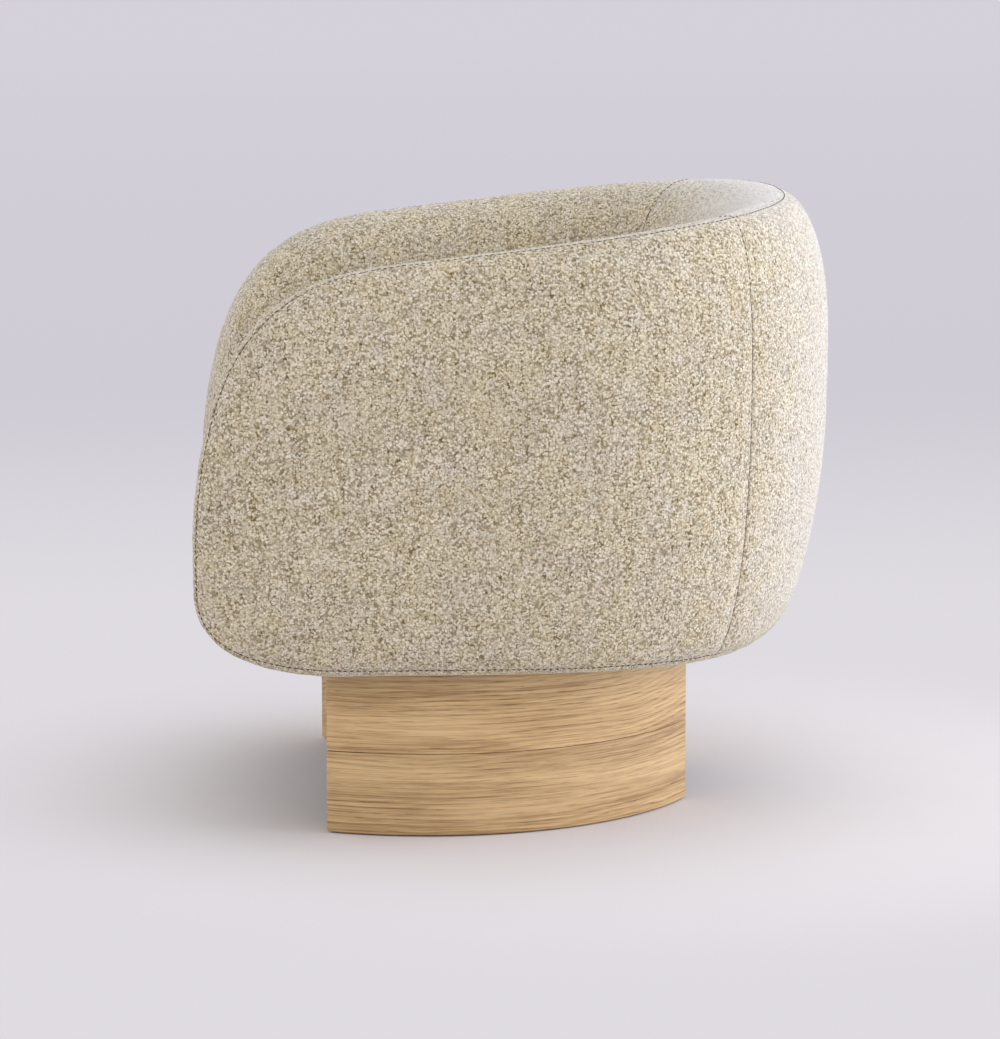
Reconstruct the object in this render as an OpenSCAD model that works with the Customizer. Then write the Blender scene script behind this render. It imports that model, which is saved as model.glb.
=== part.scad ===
// Tub lounge chair on two curved oak panels.
// Millimetres, +Z up, the sitter faces -Y, the origin is on the floor under
// the middle of the chair. Left and right are the sitter's.

/* [Upholstered tub] */
// Depth over everything, front of the arms to the bulge of the back
chair_depth = 766; // [750:1:790]
// Half width of the tub at its sewn rim
rim_half_w = 365; // [360:1:380]
// How far the sides bulge out past the rim
side_bulge = 36; // [30:1:44]
// How far the back bulges out past the rim
back_bulge = 60; // [50:1:66]
// How much shallower the rounded rear of the rim is than half the rim's width
rear_shallow = 18; // [9:1:18]
// Squareness of the rear corners of the rim, 2 is an ellipse
rim_corner_n = 2.4; // [2.2:0.1:2.6]
// Height of the rim above the oak base, where the arm starts to curve down
arm_rise = 485; // [468:1:508]
// Rise of the rim towards the back, in degrees
rim_slope = 6.7; // [5:0.1:8]
// Height of the foremost point of the arm above the oak base
nose_rise = 118; // [108:1:133]
// Length over which the top of the arm curves down
nose_top_len = 249; // [235:1:265]
// Length over which the bottom of the arm curves up
nose_low_len = 228; // [215:1:240]
// Height of the bottom seam above the oak base, at the sides
hem_side_rise = 4; // [3:0.5:5]
// Height of the bottom seam above the oak base, at the back
hem_back_rise = 2; // [2:1:8]
// How far the bottom seam is tucked under, at the sides
hem_tuck_side = 20; // [16:1:24]
// How far the bottom seam is tucked under, at the back
hem_tuck_back = 34; // [30:1:38]
// Place of the seam between side and back covers, in degrees round the rear
seam_angle = 46; // [42:1:50]

/* [Arms and back] */
// Thickness of the arm inward from its rim
arm_t = 80; // [76:1:88]
// Thickness of the back inward from its rim, at the end of the roll
back_t = 95; // [90:1:105]
// Height of the rolled top of the arm
arm_roll_h = 80; // [70:1:90]
// Height of the rolled top of the back
back_roll_h = 110; // [95:1:120]
// Slope of the inner back, in millimetres forward for each one down
back_lean = 0.16; // [0.1:0.01:0.2]
// Thickness of the cover fabric with its backing
cover_t = 2.5; // [2:0.1:3]

/* [Seat] */
// Height of the top of the seat deck above the oak base
deck_rise = 98; // [96:1:104]
// Height of the cushion at its sewn edge
cushion_edge_h = 104; // [90:1:112]
// Rise of the cushion's crown over its edge
cushion_crown = 22; // [10:1:28]
// Gap between the cushion and the tub
cushion_gap = 1.5; // [1:0.1:4]
// Distance of the cushion's front behind the arms' front
cushion_setback = 12; // [8:1:30]
// Corner radius of the cushion seen from above
cushion_corner_r = 46; // [30:1:60]

/* [Wooden seat frame] */
// Height of the frame rails' top edge above the oak base
rail_top_rise = 80; // [74:1:81]
// Width of the side and back rails
rail_w = 45; // [42:1:50]
// Thickness of the front rail
front_rail_t = 25; // [20:1:32]
// Distance of the front rail behind the arms' front
rail_setback = 59; // [56:1:66]
// Thickness of the bent and flat plywood walls
wall_t = 12; // [9:1:13]
// Distance of the plywood walls' inner face inside the rim
wall_recess = 20; // [19:1:23]
// Distance of the plywood walls' edge below the rim
wall_inset = 36; // [32:1:44]
// Height of the plywood walls' lower edge above the oak base
wall_low_rise = 34; // [32:1:42]
// Height of the separate top rail of the back
top_rail_h = 30; // [20:1:40]
// Thickness of the base panel
base_panel_t = 18; // [17:0.5:18]
// Distance of the base panel's edge inside the rim
base_margin = 40; // [39:1:45]
// Distance of the base panel's front edge behind the arms' front
base_setback = 119; // [114:1:126]
// Width of a webbing strap
strap_w = 60; // [50:1:70]
// Thickness of a webbing strap
strap_t = 1.5; // [1:0.1:1.6]

/* [Oak base] */
// Height of the oak base
base_h = 202; // [185:1:220]
// Height of the joint between lower and upper boards
joint_z = 100; // [90:1:115]
// Thickness of the oak boards
board_t = 38; // [34:1:44]
// Distance of the boards' outer face inside the base panel's edge
board_margin = 26; // [23:1:33]
// How far each board's centre of curvature lies past the middle of the chair
board_shift = 44; // [40:1:48]
// Place of that centre, as a share of the way from the base panel's front to the bent back
board_centre_share = 0.73; // [0.71:0.01:0.75]
// Distance of the boards' front end behind the base panel's front edge
board_front_margin = 27.7; // [25:0.1:35]
// Angle of the boards' rear end
board_rear_deg = 63.4; // [60:0.1:66]
// Chamfer on the boards' long edges
board_chamfer = 1.2; // [0.6:0.1:2]

/* [Fasteners] */
// Radius of the dowels between the boards
dowel_r = 5; // [4:0.5:6]
// Length of the dowels
dowel_len = 60; // [50:1:70]
// Radius of the base bolts' shank
bolt_r = 4; // [3:0.5:5]
// Length of the base bolts under the head
bolt_len = 34; // [30:1:38]
// Radius of the threaded inserts
insert_r = 6.5; // [6:0.5:8]
// Length of the threaded inserts
insert_len = 20; // [16:1:24]
// Radius of the wood screws' shank
screw_r = 2.5; // [2:0.1:3]
// Length of the wood screws
screw_len = 32; // [28:1:34]
// Radius of the floor glides
glide_r = 11; // [8:0.5:13]
// Thickness of the floor glides
glide_t = 5; // [4:0.5:8]
// How far the floor glides stand out of the boards
glide_out = 1.5; // [1:0.1:3]

/* [Hidden] */

// Gap left between pieces that lie against each other
seat_gap = 0.3;
// Radial clearance of a fastener in its hole
hole_gap = 0.05;
// Exponents of the tub's rounded outlines
nose_top_n = 3;
nose_low_n = 2.8;
outer_top_n = 2.05;
outer_low_n = 2.3;
// Share of the tub's height at which it is widest
widest_share = 0.686;
// Lengths over which the arm swells behind its front edge
side_nose_len = 133;
inner_nose_len = 50;
// Height of the small roll under the arm's front
leg_roll_h = 35;
// Bow of the seam between side and back covers, in degrees
seam_bow = 2.7;
// Half of the gap at a seam, in degrees round the rear and as a share of the edge
seam_half_deg = 0.04;
seam_share = 0.003;

// Heights above the floor, from the top of the oak base
arm_h = base_h + arm_rise;
nose_z = base_h + nose_rise;
hem_side_z = base_h + hem_side_rise;
hem_back_z = base_h + hem_back_rise;
deck_z = base_h + deck_rise;
rail_top_z = base_h + rail_top_rise;
wall_low_z = base_h + wall_low_rise;

front_y = -chair_depth / 2;
rim_back_y = chair_depth / 2 - back_bulge;
rim_rear_depth = rim_half_w - rear_shallow;
corner_y = rim_back_y - rim_rear_depth;
nose_top_y = front_y + nose_top_len;
nose_low_y = front_y + nose_low_len;
foam_inset = cover_t + 3 * seat_gap;
// The outer foam and the rolls keep a little deeper, clear of the covers' flat facets
outer_inset = foam_inset + 2 * seat_gap;
// How much deeper still the outer foam keeps along its lower edge
low_relief = 2;
wall_in = rim_half_w - wall_recess;
wall_out = wall_in + wall_t;
// The bent back starts ahead of the rim's corner so that it clears the bottom seam
wall_y = corner_y - 14;
inner_half_w = rim_half_w - arm_t;
// Margin between the webbing's ends and the rails' outer edge
strap_end = 6;
// Clearance under each layer of webbing and of the seat deck
strap_gap = 0.05;
webbing_top = rail_top_z + 2 * (strap_t + strap_gap);
// Heights at which the tub's inner pieces end on the webbing
foam_low = webbing_top + seat_gap;
deck_foam_t = deck_z - cover_t - seat_gap / 3 - foam_low;
rail_front_y = front_y + rail_setback;
rail_back_y = rail_front_y + front_rail_t;
// The back of the arm's front, ahead of the rails
leg_back_y = rail_front_y - foam_inset - 1;
rail_in = wall_in - rail_w;
base_front_y = front_y + base_setback;
base_panel_half_w = rim_half_w - base_margin;
dust_t = 0.8;
base_panel_z = base_h + dust_t;
board_r_centre = -board_shift;
board_r = base_panel_half_w - board_margin + board_shift;
board_y = mix(base_front_y, wall_y, board_centre_share);
board_front_deg = -asin((board_y - base_front_y - board_front_margin) / board_r);
washer_t = 1.6;
// Play of the base bolts in the panel and boards, and of the washers on them
bolt_play = 0.5;
rail_low_z = base_panel_z + base_panel_t;
base_corner_r = 70;
base_round_y = wall_y - 10;
// The covers start this far behind the foremost point, where they meet in a narrow slit
nose_slit = 0.02;
// Clearance between the border under the tub and the edge of the base panel
border_gap = 1.2;
front_rail_low_z = rail_low_z + 17;
board_mid_r = board_r - board_t / 2;
dowel_degs = [for (t = [0.065, 0.365, 0.685, 0.94]) mix(board_front_deg, board_rear_deg, t)];
bolt_degs = [for (t = [0.133, 0.512, 0.846]) mix(board_front_deg, board_rear_deg, t)];
glide_degs = [for (t = [0.088, 0.5, 0.915]) mix(board_front_deg, board_rear_deg, t)];
bolt_spots = [for (side = [-1, 1], deg = bolt_degs)
    [side * (board_r_centre + board_mid_r * cos(deg)), board_y + board_mid_r * sin(deg)]];
rail_screw_x = (rail_in + base_panel_half_w) / 2;
rail_screw_r = rail_in + screw_r * 2 + 1;
rail_screw_spots = concat(
    [for (side = [-1, 1], t = [0.37, 0.68, 0.93]) [side * rail_screw_x, mix(base_front_y, wall_y, t)]],
    [for (deg = [65, 115]) [rail_screw_r * cos(deg), wall_y + rail_screw_r * sin(deg)]]);
wall_screw_z = (wall_low_z + rail_top_z) / 2;
wall_screw_ys = [for (t = [0.14, 0.47, 0.874]) mix(rail_front_y, wall_y, t)];
wall_screw_degs = [15, 45, 75, 105, 135, 165];
cross_straps = 5;
// The last crosswise strap ends at this share of the bent back's depth
cross_back_share = 0.64;
cross_pitch = (wall_y + cross_back_share * wall_in - strap_w - rail_back_y - strap_end) / (cross_straps - 1);
long_straps = 4;
long_pitch = 132;
band_half_w = inner_half_w - 0.6;
band_front_y = front_y + 24;
band_top_r = 20;
band_corner_r = 18;

cloth = "#cfc5a9";
cloth_dark = "#b3a583";
foam = "#e8dfb8";
oak = "#cfa873";
ply = "#d8bd8c";
beech = "#cda577";
steel = "#a9abad";

// Shape functions of the tub

function clamp01(t) = min(1, max(0, t));
function root(v, e) = v <= 0 ? 0 : pow(v, e);
// Quarter of a superellipse: 1 at t = 0, falling to 0 at t = 1
function quarter(t, n) = root(1 - root(t, n), 1 / n);

function rim_line(y) = arm_h + (y - nose_top_y) * tan(rim_slope);
function rim_z(y, inset) = nose_z + (rim_line(y) - inset - nose_z)
    * quarter(clamp01((nose_top_y - y) / (nose_top_len - inset)), nose_top_n);
function hem_z(y, back, inset) = nose_z
    - (nose_z - hem_side_z - (hem_back_z - hem_side_z) * back - inset)
    * quarter(clamp01((nose_low_y - y) / (nose_low_len - inset)), nose_low_n);

// A station on the rim is [0, y] along an arm or [1, angle] round the rear
function squeeze(y, inset) = front_y + inset
    + (y - front_y) * (corner_y - front_y - inset) / (corner_y - front_y);
function rim_xy(st, inset) = st[0] == 0
    ? [rim_half_w, squeeze(st[1], inset)]
    : [rim_half_w * sign(cos(st[1])) * root(abs(cos(st[1])), 2 / rim_corner_n),
       corner_y + rim_rear_depth * root(sin(st[1]), 2 / rim_corner_n)];
function unit(v) = v / norm(v);
function outward(st) = st[0] == 0
    ? [1, 0]
    : unit([sign(cos(st[1])) * root(abs(cos(st[1])), 2 - 2 / rim_corner_n) / rim_half_w,
            root(sin(st[1]), 2 - 2 / rim_corner_n) / rim_rear_depth]);
function backness(st) = st[0] == 0 ? 0 : pow(sin(st[1]), 2);
function mix(a, b, t) = a + (b - a) * t;
function swell(y, inset, len) = quarter(clamp01(1 - (y - front_y - inset) / len), 2);

// The point at offset d outward from the rim and height z
function off_rim(st, d, z, inset) = let(p = rim_xy(st, inset) + outward(st) * d) [p[0], p[1], z];

// Outer surface: v runs from -1 at the bottom seam to 1 at the rim
function tuck(st, inset) = mix(hem_tuck_side, hem_tuck_back, backness(st))
    * swell(rim_xy(st, inset)[1], inset, side_nose_len);
function bulge(st, inset) = (mix(side_bulge, back_bulge, backness(st)) - inset)
    * swell(rim_xy(st, inset)[1], inset, side_nose_len);
function outer_pt(st, v, inset) =
    let(y = rim_xy(st, inset)[1],
        top = rim_z(y, inset),
        low = hem_z(y, backness(st), inset),
        wide = mix(low, top, widest_share),
        n = v >= 0 ? outer_top_n : outer_low_n,
        up = root(sin(abs(v) * 90), 2 / n),
        out = root(cos(abs(v) * 90), 2 / n),
        d = v >= 0 ? bulge(st, inset) * out
                   : mix(-tuck(st, inset), bulge(st, inset), out))
    off_rim(st, d, v >= 0 ? mix(wide, top, up) : mix(wide, low, up), inset);

// Inner surface: the roll turns through angle a from the rim, then the wall drops
function depth_in(st, inset) = (mix(arm_t, back_t, backness(st)) - inset)
    * swell(rim_xy(st, inset)[1], inset, inner_nose_len);
function roll_h(st, inset) =
    let(y = rim_xy(st, inset)[1])
    min(mix(arm_roll_h, back_roll_h, backness(st)),
        (rim_z(y, inset) - hem_z(y, backness(st), inset)) / 2);
function rim_top(st, inset) = rim_z(rim_xy(st, inset)[1], inset);
function roll_pt(st, a, inset) = off_rim(st, -depth_in(st, inset) * sin(a),
    rim_top(st, inset) - roll_h(st, inset) * (1 - cos(a)), inset);
function wall_pt(st, z, inset) =
    let(knee = rim_top(st, inset) - roll_h(st, inset))
    off_rim(st, -depth_in(st, inset) - back_lean * backness(st) * max(0, knee - z), z, inset);
// Angle at which the roll is d inside the rim
function roll_angle(st, d, inset) = asin(clamp01(d / depth_in(st, inset)));

// The arm's front goes down to the bottom seam, ahead of the seat frame
function is_leg(st) = st[0] == 0 && st[1] <= leg_back_y;
function leg_pt(st, a, inset) =
    let(y = rim_xy(st, inset)[1], low = hem_z(y, 0, inset),
        h = min(leg_roll_h, (rim_top(st, inset) - low) / 2))
    off_rim(st, mix(-tuck(st, inset), -depth_in(st, inset), cos(a)),
            low + h * (1 - sin(a)), inset);
function leg_knee(st, inset) = leg_pt(st, 0, inset)[2];

// One column of the inner surface, from the rim down to height low or to the bottom seam
function inner_column(st, inset, low, rolls, drops) =
    let(knee = rim_top(st, inset) - roll_h(st, inset), half = ceil(drops / 2))
    concat(
        [for (k = [0:rolls]) roll_pt(st, mix(90 * seam_share, 90, k / rolls), inset)],
        is_leg(st)
            ? concat(
                [for (k = [1:half]) wall_pt(st, mix(knee, leg_knee(st, inset), k / half), inset)],
                [for (k = [1:drops - half])
                    leg_pt(st, 90 * (1 - seam_share) * k / (drops - half), inset)])
            : [for (k = [1:drops]) wall_pt(st, mix(knee, low, k / drops), inset)]);

// Distance inward from the rim to the upright wall of radius r about wall_y
function to_ring(st, r, inset) =
    let(p = rim_xy(st, inset), q = [p[0], p[1] - wall_y], b = q * outward(st))
    p[1] < wall_y ? rim_half_w - r : b - sqrt(b * b - q * q + r * r);

// Stations: the arm's front, close together, the arm behind it, and the rear corner
leg_steps = 6;
arm_steps = 8;
leg_stations = [for (k = [0:leg_steps]) [0, mix(front_y + nose_slit, leg_back_y, pow(k / leg_steps, 2))]];
arm_stations = [for (k = [1:arm_steps - 1])
    [0, mix(leg_back_y, corner_y, pow(k / arm_steps, 1.3))]];
leg_back_station = [0, leg_back_y + 0.5];
function corner_stations(n, end) = [for (k = [0:n]) [1, end * k / n]];
// The seam bows towards the arm below the rim
function seam_at(v) = seam_angle - seam_bow * (v > 0 ? 1 - v * v : 1 - 0.4 * v * v);

// Solids from rows of points

// A closed skin between two equal grids of points, the first one outside
module skin(a, b) {
    nu = len(a);
    nv = len(a[0]);
    pts = concat([for (c = a) each c], [for (c = b) each c]);
    m = nu * nv;
    edge = concat(
        [for (j = [0:nv - 2]) [j, j + 1]],
        [for (i = [0:nu - 2]) [i * nv + nv - 1, (i + 1) * nv + nv - 1]],
        [for (j = [nv - 1:-1:1]) [(nu - 1) * nv + j, (nu - 1) * nv + j - 1]],
        [for (i = [nu - 1:-1:1]) [i * nv, (i - 1) * nv]]);
    polyhedron(pts, concat(
        [for (i = [0:nu - 2], j = [0:nv - 2])
            let(p = i * nv + j)
            each [[p, p + 1, p + nv], [p + 1, p + nv + 1, p + nv],
                  [m + p, m + p + nv, m + p + 1], [m + p + 1, m + p + nv, m + p + nv + 1]]],
        [for (e = edge) each [[e[0], m + e[0], e[1]], [e[1], m + e[0], m + e[1]]]]));
}

// A closed solid through a row of equal loops of points
module loft(loops) {
    n = len(loops);
    m = len(loops[0]);
    pts = [for (l = loops) each l];
    polyhedron(pts, concat(
        [for (i = [0:n - 2], j = [0:m - 1])
            let(a = i * m + j, b = i * m + (j + 1) % m)
            each [[a, b, a + m], [b, b + m, a + m]]],
        [for (j = [1:m - 2]) [0, j + 1, j]],
        [for (j = [1:m - 2]) [(n - 1) * m, (n - 1) * m + j, (n - 1) * m + j + 1]]));
}

module left_or_right(side) {
    if (side > 0) children();
    else mirror([1, 0, 0]) children();
}

// Covers

outer_rows = 13;
function outer_grid(sts, inset) = [for (st = sts) [for (k = [0:outer_rows])
    outer_pt(st, mix(-1, 1 - seam_share, k / outer_rows), inset)]];
// The last stretch of the side cover runs out to the bowed seam
function corner_grid(n, inset) = [for (i = [0:n]) [for (k = [0:outer_rows])
    let(v = mix(-1, 1 - seam_share, k / outer_rows))
    outer_pt([1, (seam_at(v) - seam_half_deg) * i / n], v, inset)]];
function back_grid(n, inset) = [for (i = [0:n]) [for (k = [0:outer_rows])
    let(v = mix(-1, 1 - seam_share, k / outer_rows), from = seam_at(v) + seam_half_deg)
    outer_pt([1, mix(from, 180 - from, i / n)], v, inset)]];

module outer_side_cover(side) {
    function grid(inset) = concat(outer_grid(concat(leg_stations, arm_stations), inset),
        corner_grid(7, inset));
    color(cloth) left_or_right(side) skin(grid(0), grid(cover_t));
}
module outer_back_cover() {
    color(cloth) skin(back_grid(14, 0), back_grid(14, cover_t));
}
module inner_arm_cover(side) {
    sts = concat(leg_stations, [leg_back_station], arm_stations,
        corner_stations(7, seam_angle - seam_half_deg));
    function grid(inset) = [for (st = sts) inner_column(st, inset, foam_low, 6, 6)];
    color(cloth) left_or_right(side) skin(grid(0), grid(cover_t));
}
module inner_back_cover() {
    sts = [for (k = [0:14]) [1, mix(seam_angle + seam_half_deg,
        180 - seam_angle - seam_half_deg, k / 14)]];
    function grid(inset) = [for (st = sts) inner_column(st, inset, foam_low, 6, 4)];
    color(cloth) skin(grid(0), grid(cover_t));
}

// Foam

// Where the outer surface comes in to depth d, as a value of v below the widest point
function outer_foot(st, d, inset) =
    let(t = tuck(st, inset), out = clamp01((t - d) / (t + bulge(st, inset))))
    -acos(root(out, outer_low_n / 2)) / 90;
// Depth of the walls' outer face, with room for the flat facets round the rear
function wall_depth(st) = to_ring(st, wall_out + (rim_xy(st, 0)[1] < wall_y ? seat_gap : 4), 0);
function outer_loop(st) =
    let(d = wall_depth(st), foot = outer_foot(st, d, outer_inset) + 0.03)
    concat(
        [for (k = [0:7]) let(v = mix(foot, 1, k / 7))
            outer_pt(st, v, outer_inset + low_relief * max(0, -v))],
        [roll_pt(st, roll_angle(st, d, outer_inset), outer_inset)]);
module outer_foam(side) {
    sts = concat([for (k = [2:leg_steps]) leg_stations[k]], arm_stations, [[0, wall_y - 1]],
        corner_stations(7, seam_angle - 3));
    color(foam) left_or_right(side) loft([for (st = sts) outer_loop(st)]);
}
module outer_foam_back() {
    color(foam) loft([for (k = [0:14]) outer_loop([1, mix(seam_angle - 2.4,
        182.4 - seam_angle, k / 14)])]);
}
function inner_loop(st) =
    let(d = to_ring(st, wall_in - seat_gap, 0), from = roll_angle(st, d, foam_inset),
        knee = rim_top(st, foam_inset) - roll_h(st, foam_inset), leg = is_leg(st),
        low = leg ? hem_z(rim_xy(st, foam_inset)[1], 0, foam_inset) : foam_low)
    concat(
        [off_rim(st, -d, leg ? low + 4 : low, foam_inset)],
        [for (k = [0:4]) roll_pt(st, mix(from, 90, k / 4), foam_inset)],
        leg ? [leg_pt(st, 0, foam_inset), leg_pt(st, 30, foam_inset), leg_pt(st, 60, foam_inset)]
            : [for (k = [1:3]) wall_pt(st, mix(knee, low, k / 3), foam_inset)]);
module arm_foam(side) {
    sts = concat([for (k = [2:leg_steps]) leg_stations[k]], [leg_back_station], arm_stations,
        corner_stations(7, seam_angle - seam_half_deg));
    color(foam) left_or_right(side) loft([for (st = sts) inner_loop(st)]);
}
module back_foam() {
    color(foam) loft([for (k = [0:14]) inner_loop([1, mix(seam_angle + seam_half_deg,
        180 - seam_angle - seam_half_deg, k / 14)])]);
}
// The roll that sits on the walls' edge, between inner and outer foam
function edge_loop(st, low_z) =
    let(di = to_ring(st, wall_in - seat_gap, 0) - 3 * seat_gap, do = wall_depth(st) + 3 * seat_gap,
        zi = roll_pt(st, roll_angle(st, di, outer_inset), outer_inset),
        zo = roll_pt(st, roll_angle(st, do, outer_inset), outer_inset))
    [off_rim(st, -do, low_z, outer_inset), zo, zi, off_rim(st, -di, low_z, outer_inset)];
function above_wall(st) = rim_z(squeeze(st[1], outer_inset), wall_inset) + 2;
module edge_roll(side) {
    nose = [for (y = [front_y + 9, front_y + 18, front_y + wall_inset - 6]) [0, y]];
    top = [for (t = [0:12]) [0, mix(front_y + wall_inset + 3, wall_y - 1, pow(t / 12, 1.8))]];
    color(foam) left_or_right(side) {
        loft([for (st = nose) edge_loop(st, hem_z(squeeze(st[1], outer_inset), 0, outer_inset) + 20)]);
        loft([for (st = top) edge_loop(st, above_wall(st))]);
    }
}
module edge_roll_back() {
    sts = [for (k = [0:30]) [1, mix(4, 176, k / 30)]];
    color(foam) loft([for (st = sts)
        edge_loop(st, rim_line(rim_xy(st, 0)[1]) - wall_inset + 1)]);
}

// Under side

// Half width of the opening in the border at y: the band in front, then the base panel
function opening_x(y) =
    let(r = base_corner_r + border_gap, back = base_front_y + base_corner_r)
    y > back ? base_panel_half_w + border_gap
    : max(band_half_w + seat_gap,
        base_panel_half_w - base_corner_r + root(r * r - pow(y - back, 2), 0.5));
function band_low(y) = hem_z(y, 0, 0) - (hem_z(base_front_y, 0, 0) - base_panel_z - 1)
    * pow((y - band_front_y) / (base_front_y - band_front_y), 2);
function border_in(st, z) = st[0] == 0
    ? [opening_x(st[1]), st[1], st[1] < base_front_y ? band_low(st[1]) + z : base_panel_z + z]
    : let(p = rim_xy(st, 0), n = outward(st), q = [p[0], p[1] - base_round_y], b = q * n,
          r = base_panel_half_w + border_gap, e = p[1] < base_round_y ? [r, p[1]]
              : p - n * (b - sqrt(b * b - q * q + r * r)))
      [e[0], e[1], base_panel_z + z];
module under_border(side) {
    sts = concat([for (k = [0:3]) [0, mix(rail_front_y + 2, base_front_y, k / 3)]],
        [for (k = [0:6]) [0, base_front_y + base_corner_r * (1 - cos(mix(25, 90, k / 6)))]],
        [for (k = [1:2]) [0, mix(base_front_y + base_corner_r, corner_y, k / 3)]],
        corner_stations(15, 90));
    function grid(up) = [for (st = sts)
        let(hem = outer_pt(st, -1, cover_t + seat_gap))
        [[hem[0], hem[1], hem[2] + up], border_in(st, cover_t + up)]];
    color(cloth_dark) left_or_right(side) skin(grid(cover_t), grid(0));
}
module base_outline(inset) {
    r = base_panel_half_w - inset;
    intersection() {
        translate([0, base_round_y]) circle(r = r, $fn = 96);
        translate([-r, base_round_y - 1]) square([2 * r, r + 2]);
    }
    translate([-r, base_front_y + base_corner_r])
        square([2 * r, base_round_y - base_front_y - base_corner_r]);
    translate([-r + base_corner_r, base_front_y + inset])
        square([2 * (r - base_corner_r), base_corner_r + 1]);
    for (s = [-1, 1]) translate([s * (r - base_corner_r), base_front_y + base_corner_r + inset / 2])
        circle(r = base_corner_r - inset / 2, $fn = 64);
}
module base_panel() {
    color(ply) translate([0, 0, base_panel_z]) difference() {
        linear_extrude(base_panel_t) base_outline(0);
        for (p = bolt_spots) translate([p[0], p[1], -1])
            cylinder(h = base_panel_t + 2, r = bolt_r + bolt_play, $fn = 32);
        for (p = rail_screw_spots) translate([p[0], p[1], 0]) screw_hole();
    }
}
module dust_cover() {
    color("#2b2b2b") translate([0, 0, base_h]) difference() {
        linear_extrude(dust_t) base_outline(4);
        for (p = bolt_spots) translate([p[0], p[1], -1])
            cylinder(h = dust_t + 2, r = bolt_r + bolt_play, $fn = 32);
    }
}

// Oak base

function board_point(r, deg) = [board_r_centre + r * cos(deg), board_y + r * sin(deg)];
module at_board_points(degs, side) {
    for (deg = degs) {
        p = board_point(board_mid_r, deg);
        translate([side * p[0], p[1], 0]) children();
    }
}
module board(side, low, high) {
    c = board_chamfer;
    color(oak) difference() {
        left_or_right(side) translate([board_r_centre, board_y, low])
            rotate([0, 0, board_front_deg])
            rotate_extrude(angle = board_rear_deg - board_front_deg, $fn = 180)
            polygon([[board_r - board_t + c, 0], [board_r - c, 0], [board_r, c],
                [board_r, high - low - c], [board_r - c, high - low],
                [board_r - board_t + c, high - low], [board_r - board_t, high - low - c],
                [board_r - board_t, c]]);
        at_board_points(dowel_degs, side) translate([0, 0, joint_z - dowel_len / 2])
            cylinder(h = dowel_len, r = dowel_r + hole_gap, $fn = 32);
        at_board_points(bolt_degs, side) translate([0, 0, base_h - insert_len - 1])
            cylinder(h = insert_len + 2, r = insert_r + hole_gap, $fn = 32);
        at_board_points(bolt_degs, side) translate([0, 0, base_h - bolt_len])
            cylinder(h = bolt_len, r = bolt_r + bolt_play, $fn = 32);
        at_board_points(glide_degs, side) translate([0, 0, glide_out - 1])
            cylinder(h = glide_t - glide_out + 1, r = glide_r + hole_gap, $fn = 48);
    }
}
module base_board_lower(side) { board(side, glide_out, joint_z); }
module base_board_upper(side) { board(side, joint_z, base_h); }
module board_dowels() {
    color(beech) for (side = [-1, 1])
        at_board_points(dowel_degs, side) translate([0, 0, joint_z - dowel_len / 2 + 1])
        cylinder(h = dowel_len - 2, r = dowel_r, $fn = 32);
}
module floor_glides() {
    color("#3a3a3a") for (side = [-1, 1]) at_board_points(glide_degs, side) union() {
        cylinder(h = 1, r1 = glide_r - 1, r2 = glide_r, $fn = 48);
        translate([0, 0, 1]) cylinder(h = glide_t - 1, r = glide_r, $fn = 48);
    }
}
module base_bolts() {
    color(steel) for (p = bolt_spots) translate([p[0], p[1], rail_low_z + washer_t]) difference() {
        union() {
            translate([0, 0, -bolt_len]) cylinder(h = bolt_len + 1, r = bolt_r, $fn = 32);
            cylinder(h = bolt_r * 1.1, r = bolt_r * 1.75, $fn = 32);
        }
        translate([0, 0, bolt_r * 0.4]) cylinder(h = bolt_r, r = bolt_r * 0.7, $fn = 6);
    }
}
module base_washers() {
    color(steel) for (p = bolt_spots) translate([p[0], p[1], rail_low_z]) difference() {
        cylinder(h = washer_t, r = bolt_r * 2.4, $fn = 32);
        translate([0, 0, -1]) cylinder(h = washer_t + 2, r = bolt_r + bolt_play, $fn = 32);
    }
}
module base_inserts() {
    color(steel) for (side = [-1, 1]) at_board_points(bolt_degs, side)
        translate([0, 0, base_h - insert_len]) difference() {
            cylinder(h = insert_len, r = insert_r, $fn = 32);
            translate([0, 0, -1]) cylinder(h = insert_len + 2, r = bolt_r + hole_gap, $fn = 32);
        }
}

// Seat frame

// A countersunk hole along +Z, and the screw that fits it, from the head's face
module screw_hole() {
    translate([0, 0, -0.01]) cylinder(h = screw_r + 0.31, r1 = screw_r * 2 + 0.3,
        r2 = screw_r + hole_gap, $fn = 32);
    cylinder(h = screw_len + 1, r = screw_r + hole_gap, $fn = 32);
}
module screw() {
    translate([0, 0, 0.2]) union() {
        cylinder(h = screw_r, r1 = screw_r * 2, r2 = screw_r, $fn = 32);
        cylinder(h = screw_len - 0.2, r = screw_r, $fn = 32);
    }
}
module wall_screw_places() {
    for (side = [-1, 1], y = wall_screw_ys)
        translate([side * wall_out, y, wall_screw_z]) rotate([0, -90 * side, 0]) children();
    for (deg = wall_screw_degs)
        translate([wall_out * cos(deg), wall_y + wall_out * sin(deg), wall_screw_z])
        rotate([0, -90, deg]) children();
}
module side_rail(side) {
    color(beech) difference() {
        left_or_right(side) translate([rail_in, 0, 0]) rotate([90, 0, 90]) linear_extrude(rail_w)
            polygon([[rail_front_y, rail_top_z], [rail_front_y, front_rail_low_z],
                [rail_front_y + 40, rail_low_z], [wall_y, rail_low_z], [wall_y, rail_top_z]]);
        for (p = rail_screw_spots) translate([p[0], p[1], base_panel_z]) screw_hole();
        wall_screw_places() screw_hole();
    }
}
module front_rail() {
    color(beech) translate([-rail_in, rail_front_y, front_rail_low_z])
        cube([2 * rail_in, front_rail_t, rail_top_z - front_rail_low_z]);
}
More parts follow.
